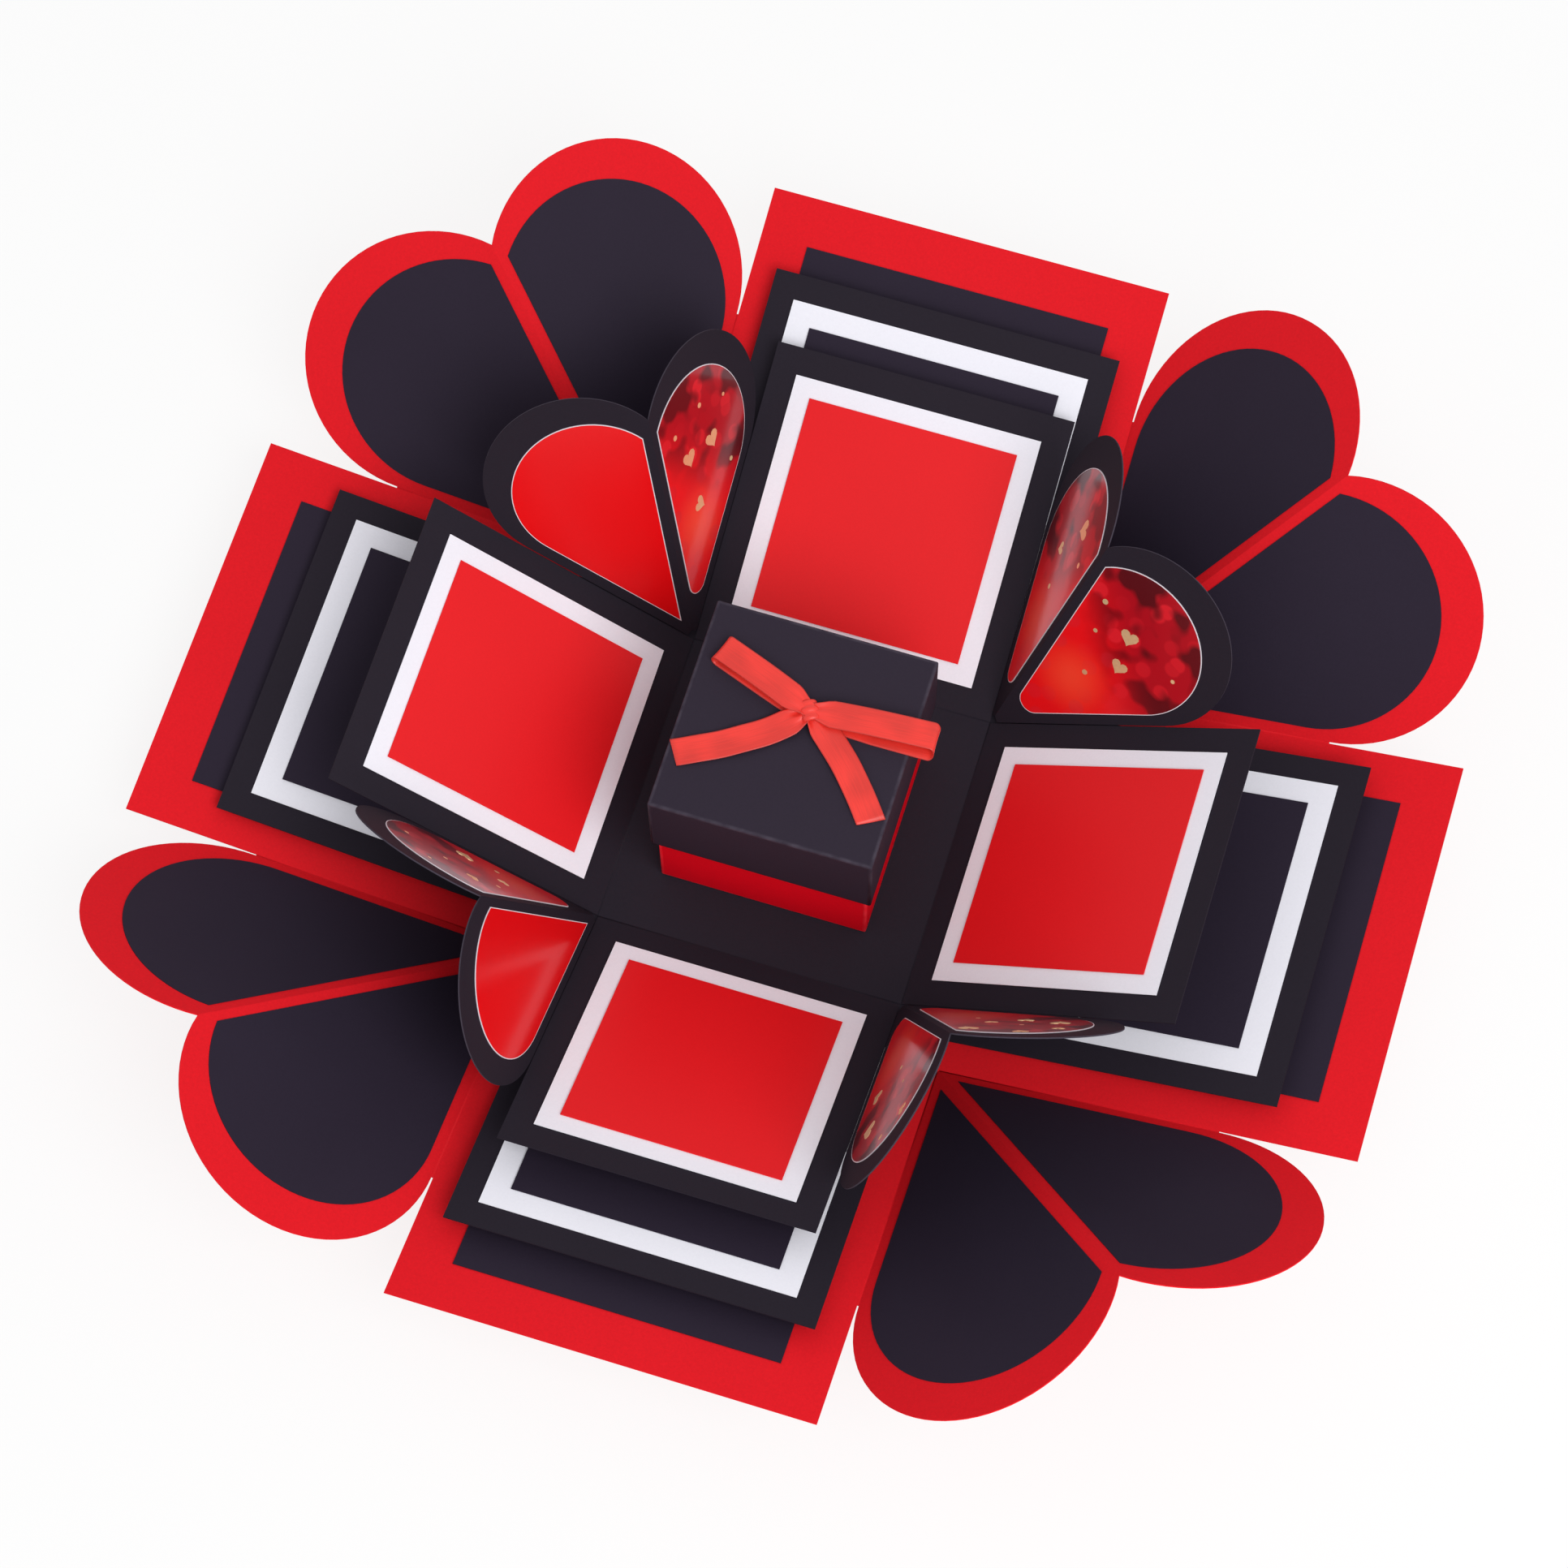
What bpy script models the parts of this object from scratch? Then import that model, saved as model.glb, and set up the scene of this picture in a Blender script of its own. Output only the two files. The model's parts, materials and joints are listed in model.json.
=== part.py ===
"""Explosion box: three nested layers of folded card with heart gussets, and a gift box in the middle.

Each layer is a cross cut from one sheet: a square base and four square walls that fold up from it.
The outer and the inner layer also have a heart at each corner. It is a gusset between two walls,
creased down its middle, and each half is folded off the side edge of its own wall.
The box is modelled opened out, in metres, with +Z up and north along +Y.
"""
import math

import bmesh
import bpy
from mathutils import Matrix, Vector

OBJECT_NAME = "explosion_box"

# Sheets
CARD = 0.0005                # thickness of the folded card
MAT = 0.0003                 # thickness of the paper mats and photo panels
GLUE_LINE = 0.0002           # between a mat and what it is glued to
STACK_GAP = 0.0003           # between the bases of two layers
FOLD_GAP = 0.00035           # from a fold line to the edge of each panel that meets there

# Layers: side of the outer base and walls, how far in the next layer's folds lie, and the sides of the mat
# and the photo panel on each wall as shares of the wall's side
OUTER_SIDE = 0.150
MIDDLE_INSET = 0.0100
INNER_INSET = 0.0090
OUTER_SQUARE_SHARES = (0.760,)
MIDDLE_SQUARE_SHARES = (0.854, 0.723)
INNER_SQUARE_SHARES = (0.8215, 0.6965)
MIDDLE_SIDE = OUTER_SIDE - 2 * MIDDLE_INSET
INNER_SIDE = MIDDLE_SIDE - 2 * INNER_INSET

# Hearts: the round of a half and its height as shares of its wall's side, and the card that shows round its mat
# at the tip, at the outer edge, along the fold and along the crease
OUTER_HEART_ARC_SHARE = 0.3233
OUTER_HEART_TOP_SHARE = 1.0
OUTER_HEART_TIP_BORDER = 0.0145
OUTER_HEART_EDGE_BORDER = 0.0070
OUTER_HEART_FOLD_BORDER = 0.0042
OUTER_HEART_CREASE_BORDER = 0.0042
INNER_HEART_ARC_SHARE = 0.3090
INNER_HEART_TOP_SHARE = 0.9650
INNER_HEART_TIP_BORDER = 0.0120
INNER_HEART_EDGE_BORDER = 0.0075
INNER_HEART_FOLD_BORDER = 0.0044
INNER_HEART_CREASE_BORDER = 0.0030
HEART_FOOT = 0.0030          # up from the corner, where the point of each half is cut off square
ARC_STEPS = 28

# Walls at rest, in degrees up from the table
OUTER_TILTS = {"north": 20.0, "east": 13.0, "south": 18.5, "west": 10.0}
MIDDLE_TILTS = {"north": 21.0, "east": 15.5, "south": 20.5, "west": 11.0}
INNER_TILTS = {"north": 22.5, "east": 33.0, "south": 26.0, "west": 33.0}

# Hearts when the box is closed, in degrees from flat: folded in over their own wall, or out past its corner
INNER_HEART_SHUT = {1: 176.5, -1: 172.0}
OUTER_HEART_SHUT = -45.0
INNER_HEART_LIFT = 0.0010    # how far a shut inner half stands in front of its wall
INNER_HEART_TUCK = {1: 0.0020, -1: 0.0}      # how far in from its wall's edge, so that two halves pass in a corner
OUTER_HEART_SPREAD = 0.0007  # from the corner's diagonal to each shut outer half

# Gift box
GIFT_EAST = -0.0015          # how far the gift box sits east and north of the middle
GIFT_NORTH = 0.0036
GIFT_BOARD = 0.0008
GIFT_SURROUND = 0.0162       # from the inner fold lines to the lid, if it stood in the middle
GIFT_LID_PLAY = 0.0012       # between the lid's skirt and the body
GIFT_BODY_HEIGHT = 0.0690
GIFT_LID_SKIRT = 0.0360
GIFT_LID_GAP = 0.0003        # between the rim of the body and the lid's top
GIFT_LID_SIDE = INNER_SIDE - 2 * GIFT_SURROUND
GIFT_BODY_SIDE = GIFT_LID_SIDE - 2 * (GIFT_BOARD + GIFT_LID_PLAY)

# Ribbon bow, with the knot's place from the middle of the lid
RIBBON_WIDTH = 0.0100
RIBBON_THICKNESS = 0.0006
RIBBON_WAIST = 0.0044        # width of the gathered ribbon at the knot
RIBBON_GATHER = 0.0110       # how far from the knot the gathers run
BOW_SEAT = 0.0003            # between the bow and the lid
KNOT_EAST = 0.0032
KNOT_NORTH = 0.0081
KNOT_LENGTH = 0.0078
KNOT_WIDTH = 0.0072
KNOT_HEIGHT = 0.0062
KNOT_ROUND = 0.0019
KNOT_TURN = -12.0            # degrees
LOOP_RISE = 0.0046
LOOP_STEPS = 30
TAIL_STEPS = 14
TAIL_WAVE = 0.0006
WEST_LOOP = 0.0385           # lengths from the knot
EAST_LOOP = 0.0445
WEST_TAIL = 0.0480
SOUTH_TAIL = 0.0440
BOW_LOOPS = (("west", 159.0, WEST_LOOP), ("east", 4.5, EAST_LOOP))      # side, heading in degrees, length
BOW_TAILS = (("west", 214.5, WEST_TAIL), ("south", -45.0, SOUTH_TAIL))
STRIP_SIDES = 2

# Colours as linear values, with roughness
RED_CARD = ((0.745, 0.013, 0.020), 0.62)
BLACK_CARD = ((0.017, 0.014, 0.020), 0.66)
WHITE_CARD = ((0.760, 0.730, 0.860), 0.60)
RED_GLOSS = ((0.720, 0.008, 0.016), 0.22)
RED_SATIN = ((0.860, 0.030, 0.020), 0.36)

# Walls by name: turn about +Z from north, and the heart at the wall's left and right side, seen from outside
TURNS = {"north": 0.0, "east": -90.0, "south": 180.0, "west": 90.0}
LEFT_HEARTS = {"north": "northwest", "east": "northeast", "south": "southeast", "west": "southwest"}
RIGHT_HEARTS = {"north": "northeast", "east": "southeast", "south": "southwest", "west": "northwest"}
LEFT_NEIGHBOURS = {"north": "west", "east": "north", "south": "east", "west": "south"}
RIGHT_NEIGHBOURS = {"north": "east", "east": "south", "south": "west", "west": "north"}


def clear_scene():
    for obj in list(bpy.data.objects):
        bpy.data.objects.remove(obj)


def make_collections():
    """The parts' collection, and one for the shapes that are only joined into a part."""
    parts = bpy.data.collections.new(OBJECT_NAME)
    cutters = bpy.data.collections.new("cutters")
    bpy.context.scene.collection.children.link(parts)
    bpy.context.scene.collection.children.link(cutters)
    return parts, cutters


def make_material(name, finish):
    colour, roughness = finish
    material = bpy.data.materials.new(name)
    material.use_nodes = True
    shader = material.node_tree.nodes["Principled BSDF"]
    shader.inputs["Base Color"].default_value = (*colour, 1.0)
    shader.inputs["Roughness"].default_value = roughness
    shader.inputs["Metallic"].default_value = 0.0
    return material


def add_object(name, mesh, parent, location, finish, collection):
    """Links a mesh as a part under its parent, with a material of its own."""
    obj = bpy.data.objects.new(name, mesh)
    collection.objects.link(obj)
    obj.parent = parent
    obj.location = location
    mesh.materials.clear()
    mesh.materials.append(make_material(name, finish))
    return obj


def add_pivot(name, parent, location, rotation, collection):
    """An empty on a fold line, which carries everything that turns about it."""
    pivot = bpy.data.objects.new(name, None)
    collection.objects.link(pivot)
    pivot.parent = parent
    pivot.location = location
    pivot.rotation_euler = rotation
    pivot.empty_display_size = KNOT_LENGTH
    return pivot


def box_mesh(name, size):
    mesh = bpy.data.meshes.new(name)
    shape = bmesh.new()
    bmesh.ops.create_cube(shape, size=1.0, matrix=Matrix.Diagonal((*size, 1.0)))
    shape.to_mesh(mesh)
    shape.free()
    return mesh


def outline_mesh(name, points, thickness):
    """A flat sheet of the given outline, centred on its thickness."""
    curve = bpy.data.curves.new(name, "CURVE")
    curve.dimensions = "2D"
    curve.fill_mode = "BOTH"
    curve.extrude = thickness / 2
    spline = curve.splines.new("POLY")
    spline.points.add(len(points) - 1)
    for target, (x, y) in zip(spline.points, points):
        target.co = (x, y, 0.0, 1.0)
    spline.use_cyclic_u = True
    sheet = bpy.data.objects.new(name + "_outline", curve)
    bpy.context.scene.collection.objects.link(sheet)
    bpy.context.view_layer.update()
    evaluated = sheet.evaluated_get(bpy.context.evaluated_depsgraph_get())
    mesh = bpy.data.meshes.new_from_object(evaluated)
    bpy.data.objects.remove(sheet)
    shape = bmesh.new()
    shape.from_mesh(mesh)
    bmesh.ops.remove_doubles(shape, verts=shape.verts, dist=thickness / 100)
    bmesh.ops.recalc_face_normals(shape, faces=shape.faces)
    shape.to_mesh(mesh)
    shape.free()
    return mesh


def modify(obj, kind, **settings):
    modifier = obj.modifiers.new(kind.lower(), kind)
    for key, value in settings.items():
        setattr(modifier, key, value)
    return modifier


def join_shape(obj, mesh, location, cutters):
    """Unites a hidden shape, placed in the part's own frame, with the part."""
    shape = bpy.data.objects.new(obj.name + "_" + mesh.name, mesh)
    cutters.objects.link(shape)
    shape.parent = obj
    shape.location = location
    shape.hide_render = True
    shape.display_type = "WIRE"
    modify(obj, "BOOLEAN", operation="UNION", object=shape, solver="EXACT")
    return shape


# Folds

def wall_axes(side, tilt):
    """The wall's own X (to its right), Y (up the wall) and Z (its front) in the world."""
    frame = Matrix.Rotation(math.radians(TURNS[side]), 3, "Z") @ Matrix.Rotation(math.radians(tilt), 3, "X")
    return frame.col[0], frame.col[1], frame.col[2]


def ridge_direction(edge, other_edge):
    """The heart's crease: 45 degrees from both walls' side edges, on the side that stands up."""
    along = math.cos(math.radians(45)) / (1 + edge.dot(other_edge))
    across = edge.cross(other_edge)
    if across.z < 0:
        across.negate()
    rest = 1 - along * along * (edge + other_edge).length_squared
    return along * (edge + other_edge) + across.normalized() * math.sqrt(max(rest, 0.0))


def heart_bend(side, sign, tilts):
    """Degrees that a heart's half is bent inwards from its wall, so that it meets its other half."""
    neighbour = RIGHT_NEIGHBOURS[side] if sign > 0 else LEFT_NEIGHBOURS[side]
    right, edge, front = wall_axes(side, tilts[side])
    ridge = ridge_direction(edge, wall_axes(neighbour, tilts[neighbour])[1])
    return math.degrees(math.atan2(ridge.dot(front), ridge.dot(sign * right)))


def fold_pivot(shift, turn):
    """The point, from a fold line, about which turning by turn degrees carries the line by shift.

    Both lie in the section across the fold: x away from the wall, y to its front.
    """
    half_cot = 0.5 / math.tan(math.radians(turn) / 2)
    return shift / 2 + half_cot * Vector((-shift.y, shift.x))


def inner_heart_pivot(sign, bend, shut):
    return fold_pivot(Vector((-INNER_HEART_TUCK[sign], INNER_HEART_LIFT)), shut - bend)


def outer_heart_pivot(sign, bend, shut):
    beside_diagonal = -math.cos(math.radians(45)) * OUTER_HEART_SPREAD
    return fold_pivot(Vector((beside_diagonal, beside_diagonal)), shut - bend)


# Sheets of card

def heart_outline(side, shares, borders):
    """Half a heart: up along the wall's edge, round the top, and back down the crease to the corner.

    x runs away from the wall's side edge and y up along it. The crease is the line y = x.
    The shares of the wall's side are the round's and the height's. The borders set the outline in from the fold,
    from the outer edge, from the tip and from the crease.
    """
    arc_share, top_share = shares
    border, edge_border, tip_border, crease_border = borders
    crease_offset = crease_border * math.sqrt(2)
    arc = side * arc_share - (border + edge_border) / 2
    centre = Vector((border + arc, side * top_share - tip_border - arc))
    to_crease = (centre.y - centre.x - crease_offset) / math.sqrt(2)
    along_crease = math.sqrt(arc * arc - to_crease * to_crease)
    cleft = Vector((to_crease + along_crease, along_crease - to_crease)) / math.sqrt(2)
    last = math.atan2(cleft.y, cleft.x)
    points = [Vector((border, max(border + crease_offset, HEART_FOOT)))]
    if border + crease_offset < HEART_FOOT:
        points.insert(0, Vector((HEART_FOOT - crease_offset, HEART_FOOT)))
    for step in range(ARC_STEPS + 1):
        angle = math.pi + (last - math.pi) * step / ARC_STEPS
        points.append(centre + arc * Vector((math.cos(angle), math.sin(angle))))
    return points


def add_base(layer, side, height, finish, parts):
    width = side - 2 * FOLD_GAP
    name = layer + "_base"
    return add_object(name, box_mesh(name, (width, width, CARD)), None, (0.0, 0.0, height), finish, parts)


def add_glued_square(name, side, size, rise, finish, pivot, parts):
    """A square sheet in the middle of a wall, with its underside at the given height over the card's middle."""
    mesh = box_mesh(name, (size, size, MAT))
    return add_object(name, mesh, pivot, (0.0, side / 2, rise + MAT / 2), finish, parts)


def add_wall(layer, wall, side, height, tilt, finish, squares, parts):
    """A wall on its fold line, with the squares that are glued on it from the card outwards."""
    turn = math.radians(TURNS[wall])
    foot = Matrix.Rotation(turn, 3, "Z") @ Vector((0.0, side / 2, height))
    pivot = add_pivot(f"{layer}_fold_{wall}", None, foot, (math.radians(tilt), 0.0, turn), parts)
    name = f"{layer}_wall_{wall}"
    mesh = box_mesh(name, (side - 2 * FOLD_GAP, side - FOLD_GAP, CARD))
    add_object(name, mesh, pivot, (0.0, (side + FOLD_GAP) / 2, 0.0), finish, parts)
    rise = CARD / 2 + GLUE_LINE
    for kind, share, square_finish in squares:
        add_glued_square(f"{layer}_{kind}_{wall}", side, side * share, rise, square_finish, pivot, parts)
        rise += MAT + GLUE_LINE
    return pivot


def add_heart_half(layer, wall, sign, side, tilts, shares, borders, pivot_of, shut, finishes, wall_pivot, folders):
    """Half a heart on its fold at the wall's side, with its mat as a raised step on the front."""
    parts, cutters = folders
    finish, mat_finish = finishes
    heart = RIGHT_HEARTS[wall] if sign > 0 else LEFT_HEARTS[wall]
    name = f"{layer}_heart_{heart}_{wall}"
    bend = heart_bend(wall, sign, tilts)
    pivot_x, pivot_z = pivot_of(sign, bend, shut)
    turn = -sign * math.radians(bend)
    spot = Vector((sign * (side / 2 + pivot_x), 0.0, pivot_z))
    pivot = add_pivot(name.replace("heart", "heart_fold"), wall_pivot, spot, (0.0, turn, 0.0), parts)
    fold_line = Matrix.Rotation(-turn, 3, "Y") @ Vector((-sign * pivot_x, 0.0, -pivot_z))
    outline = [(sign * x, y) for x, y in heart_outline(side, shares, (FOLD_GAP, 0.0, 0.0, FOLD_GAP))]
    half = add_object(name, outline_mesh(name, outline, CARD), pivot, fold_line, finish, parts)
    mat_outline = [(sign * x, y) for x, y in heart_outline(side, shares, borders)]
    mat_depth = CARD / 2 + MAT
    join_shape(half, outline_mesh("mat", mat_outline, mat_depth), (0.0, 0.0, mat_depth / 2), cutters)
    half.data.materials.append(make_material(name + "_mat", mat_finish))
    return half


def add_layer(layer, side, height, tilts, finish, squares, hearts, folders):
    """A base, four walls with their squares, and a pair of heart halves on each wall if the layer has hearts."""
    parts = folders[0]
    add_base(layer, side, height, finish, parts)
    for wall in TURNS:
        pivot = add_wall(layer, wall, side, height, tilts[wall], finish, squares, parts)
        if hearts is None:
            continue
        shares, borders, pivot_of, shut_angles, mat_finish = hearts
        for sign in (1, -1):
            add_heart_half(layer, wall, sign, side, tilts, shares, borders, pivot_of, shut_angles[sign],
                           (finish, mat_finish), pivot, folders)


# Gift box

def open_box_mesh(name, side, height, open_end):
    """A square box of five faces, open at its top (1) or its bottom (-1), to be given its wall."""
    mesh = box_mesh(name, (side, side, height))
    shape = bmesh.new()
    shape.from_mesh(mesh)
    gone = [face for face in shape.faces if face.normal.z * open_end > abs(face.normal.x) + abs(face.normal.y)]
    bmesh.ops.delete(shape, geom=gone, context="FACES_ONLY")
    shape.to_mesh(mesh)
    shape.free()
    return mesh


def add_gift_box(floor, folders):
    """The tray, its telescoping lid on a lifting empty, and the bow on the lid. Returns nothing."""
    parts = folders[0]
    spot = Vector((GIFT_EAST, GIFT_NORTH, 0.0))
    body_middle = Vector((0.0, 0.0, floor + GIFT_BODY_HEIGHT / 2))
    mesh = open_box_mesh("gift_box_body", GIFT_BODY_SIDE, GIFT_BODY_HEIGHT, 1)
    body = add_object("gift_box_body", mesh, None, spot + body_middle, RED_CARD, parts)
    modify(body, "SOLIDIFY", thickness=GIFT_BOARD, offset=-1.0, use_even_offset=True)
    lid_top = floor + GIFT_BODY_HEIGHT + GIFT_LID_GAP + GIFT_BOARD
    lift = add_pivot("gift_lid_lift", None, spot + Vector((0.0, 0.0, lid_top)), (0.0, 0.0, 0.0), parts)
    mesh = open_box_mesh("gift_box_lid", GIFT_LID_SIDE, GIFT_LID_SKIRT, -1)
    lid = add_object("gift_box_lid", mesh, lift, (0.0, 0.0, -GIFT_LID_SKIRT / 2), BLACK_CARD, parts)
    modify(lid, "SOLIDIFY", thickness=GIFT_BOARD, offset=-1.0, use_even_offset=True)
    add_bow(lift, folders)


# Ribbon bow

def strip_mesh(name, path, heading):
    """A ribbon along a path of (distance, height), gathered near the knot, lying across its heading."""
    angle = math.radians(heading)
    along = Vector((math.cos(angle), math.sin(angle), 0.0))
    across = Vector((-along.y, along.x, 0.0))
    shape = bmesh.new()
    rows = []
    for distance, height in path:
        spread = min(distance / RIBBON_GATHER, 1.0)
        eased = spread * spread * (3 - 2 * spread)
        width = RIBBON_WAIST + (RIBBON_WIDTH - RIBBON_WAIST) * eased
        middle = along * distance + Vector((0.0, 0.0, height))
        row = [shape.verts.new(middle + across * width * (step / STRIP_SIDES - 0.5)) for step in range(STRIP_SIDES + 1)]
        rows.append(row)
    for row, next_row in zip(rows, rows[1:]):
        for step in range(STRIP_SIDES):
            shape.faces.new((row[step], row[step + 1], next_row[step + 1], next_row[step]))
    mesh = bpy.data.meshes.new(name)
    shape.to_mesh(mesh)
    shape.free()
    return mesh


def loop_path(length, height):
    """Out from the knot along the lid and back over the top, a teardrop with a round end."""
    points = []
    for step in range(LOOP_STEPS + 1):
        turn = 2 * math.pi * step / LOOP_STEPS
        distance = length * (1 - math.cos(turn)) / 2
        points.append((distance, height - LOOP_RISE * math.sin(turn) * math.sin(turn / 2)))
    return points


def tail_path(length, height, low):
    """From the knot down to the lid, with a soft wave."""
    points = []
    for step in range(TAIL_STEPS + 1):
        share = step / TAIL_STEPS
        fall = (1 - share) * (1 - share)
        wave = TAIL_WAVE * (1 - math.cos(2 * math.pi * share)) / 2
        points.append((length * share, low + (height - low) * fall + wave))
    return points


def add_strip(knot, name, path, heading, cutters):
    """A length of ribbon, thickened on both sides and joined to the knot."""
    shape = join_shape(knot, strip_mesh(name, path, heading), (0.0, 0.0, 0.0), cutters)
    shape.rotation_euler.z = -knot.rotation_euler.z
    modify(shape, "SOLIDIFY", thickness=RIBBON_THICKNESS, offset=0.0, use_even_offset=True)


def add_bow(lift, folders):
    """The knot, with two loops and two tails, as one piece seated on the lid."""
    parts, cutters = folders
    knot_middle = BOW_SEAT + KNOT_HEIGHT / 2
    mesh = box_mesh("gift_bow", (KNOT_LENGTH, KNOT_WIDTH, KNOT_HEIGHT))
    knot = add_object("gift_bow", mesh, lift, (KNOT_EAST, KNOT_NORTH, knot_middle), RED_SATIN, parts)
    knot.rotation_euler.z = math.radians(KNOT_TURN)
    modify(knot, "BEVEL", width=KNOT_ROUND, segments=3, limit_method="NONE")
    for side, heading, length in BOW_LOOPS:
        loop_height = LOOP_RISE - KNOT_HEIGHT / 2
        add_strip(knot, side + "_loop", loop_path(length, loop_height), heading, cutters)
    low = RIBBON_THICKNESS / 2 - KNOT_HEIGHT / 2
    for side, heading, length in BOW_TAILS:
        add_strip(knot, side + "_tail", tail_path(length, 0.0, low), heading, cutters)


def main():
    clear_scene()
    folders = make_collections()
    layer_step = CARD + STACK_GAP
    outer_shares = (OUTER_HEART_ARC_SHARE, OUTER_HEART_TOP_SHARE)
    inner_shares = (INNER_HEART_ARC_SHARE, INNER_HEART_TOP_SHARE)
    outer_borders = (OUTER_HEART_FOLD_BORDER, OUTER_HEART_EDGE_BORDER, OUTER_HEART_TIP_BORDER,
                     OUTER_HEART_CREASE_BORDER)
    inner_borders = (INNER_HEART_FOLD_BORDER, INNER_HEART_EDGE_BORDER, INNER_HEART_TIP_BORDER,
                     INNER_HEART_CREASE_BORDER)
    outer_shut = {1: OUTER_HEART_SHUT, -1: OUTER_HEART_SHUT}
    outer_hearts = (outer_shares, outer_borders, outer_heart_pivot, outer_shut, BLACK_CARD)
    inner_hearts = (inner_shares, inner_borders, inner_heart_pivot, INNER_HEART_SHUT, RED_GLOSS)
    outer_squares = list(zip(("mat",), OUTER_SQUARE_SHARES, (BLACK_CARD,)))
    middle_squares = list(zip(("mat", "panel"), MIDDLE_SQUARE_SHARES, (WHITE_CARD, BLACK_CARD)))
    inner_squares = list(zip(("mat", "panel"), INNER_SQUARE_SHARES, (WHITE_CARD, RED_CARD)))
    height = CARD / 2
    add_layer("outer", OUTER_SIDE, height, OUTER_TILTS, RED_CARD, outer_squares, outer_hearts, folders)
    height += layer_step
    add_layer("middle", MIDDLE_SIDE, height, MIDDLE_TILTS, BLACK_CARD, middle_squares, None, folders)
    height += layer_step
    add_layer("inner", INNER_SIDE, height, INNER_TILTS, BLACK_CARD, inner_squares, inner_hearts, folders)
    add_gift_box(height + CARD / 2 + STACK_GAP, folders)
    bpy.context.view_layer.update()


main()
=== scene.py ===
"""Explosion box, opened out: card layers with scored folds, heart corners, mats, a gift box and its ribbon bow.

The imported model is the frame. This file finishes it: papers and cards for the walls, folds that close the
gaps between the panels, two-layer hearts, a wrapped gift box with rounded edges, and a tied satin bow.
"""

import json
import math

import bmesh
import bpy
from mathutils import Matrix, Vector


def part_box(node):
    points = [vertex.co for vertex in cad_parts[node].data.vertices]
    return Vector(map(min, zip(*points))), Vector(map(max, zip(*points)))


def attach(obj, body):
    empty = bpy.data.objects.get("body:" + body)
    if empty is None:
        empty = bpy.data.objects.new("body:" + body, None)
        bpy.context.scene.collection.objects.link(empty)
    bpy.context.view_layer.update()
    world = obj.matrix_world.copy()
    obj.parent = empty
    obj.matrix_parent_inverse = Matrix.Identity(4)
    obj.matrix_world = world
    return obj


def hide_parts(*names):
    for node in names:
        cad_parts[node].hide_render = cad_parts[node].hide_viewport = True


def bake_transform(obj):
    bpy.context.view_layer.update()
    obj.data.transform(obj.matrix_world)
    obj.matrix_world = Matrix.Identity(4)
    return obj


bl_info = {
    "name": "Explosion box",
    "version": (1, 0, 0),
    "blender": (4, 5, 0),
    "location": "View3D > Sidebar > Explosion box",
    "description": "Finishes an opened explosion box: folds, heart corners, printed papers, gift box and bow",
    "category": "Object",
}

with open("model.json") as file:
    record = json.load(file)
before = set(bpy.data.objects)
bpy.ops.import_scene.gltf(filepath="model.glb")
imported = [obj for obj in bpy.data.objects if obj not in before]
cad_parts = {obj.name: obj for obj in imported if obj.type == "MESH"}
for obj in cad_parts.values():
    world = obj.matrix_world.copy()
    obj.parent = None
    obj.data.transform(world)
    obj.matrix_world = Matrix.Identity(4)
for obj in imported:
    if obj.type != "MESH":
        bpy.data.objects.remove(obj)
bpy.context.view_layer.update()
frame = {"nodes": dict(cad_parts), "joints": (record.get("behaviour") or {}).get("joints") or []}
JOINTS = {joint["name"]: joint for joint in frame["joints"]}

WALLS = ("north", "east", "south", "west")
LEFT_HEARTS = {"north": "northwest", "east": "northeast", "south": "southeast", "west": "southwest"}
RIGHT_HEARTS = {"north": "northeast", "east": "southeast", "south": "southwest", "west": "northwest"}
LEFT_NEIGHBOURS = {"north": "west", "east": "north", "south": "east", "west": "south"}
RIGHT_NEIGHBOURS = {"north": "east", "east": "south", "south": "west", "west": "north"}
PLAIN_HALVES = ("northwest_west", "southwest_south")

MM = 0.001
CELL = 0.006                 # spacing of the points inside a sheet, so that it can bow
PRINT_LAYER = 0.00007        # the coloured face over a mat's white core
SCORE_LAP = 0.00022          # how far a fold runs into the panels beside it
SCORE_SHARE = 0.86           # a fold's thickness as a share of the card's, because scoring thins it
HEART_SCORES = {"outer": (0.86, 0.00022), "inner": (0.20, 0.00012)}    # a heart fold's thickness share and lap
LIP_CLEARANCE = 0.00018      # from a fold line to the lips on both sides of it
PAPER_WRAP = 0.00015         # paper turned in over the rims of the gift box
PAPER_SPECULAR = 0.08        # loose fibres scatter most of the light that a smooth face would mirror
FOIL_CLEARANCE = 0.0052      # from the edge of a print to the nearest foil
CORNER_REACH = 0.00058       # of the crushed point of card where four folds and a heart meet


def linear(hex_colour):
    """An sRGB hex colour as the linear values that the shaders and the colour properties take."""
    values = [int(hex_colour[i:i + 2], 16) / 255 for i in (1, 3, 5)]
    return tuple(v / 12.92 if v <= 0.04045 else ((v + 0.055) / 1.055) ** 2.4 for v in values)


def base_side(layer, gap):
    low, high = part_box(layer + "_base")
    return high.x - low.x + 2 * gap


# Settings

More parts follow.
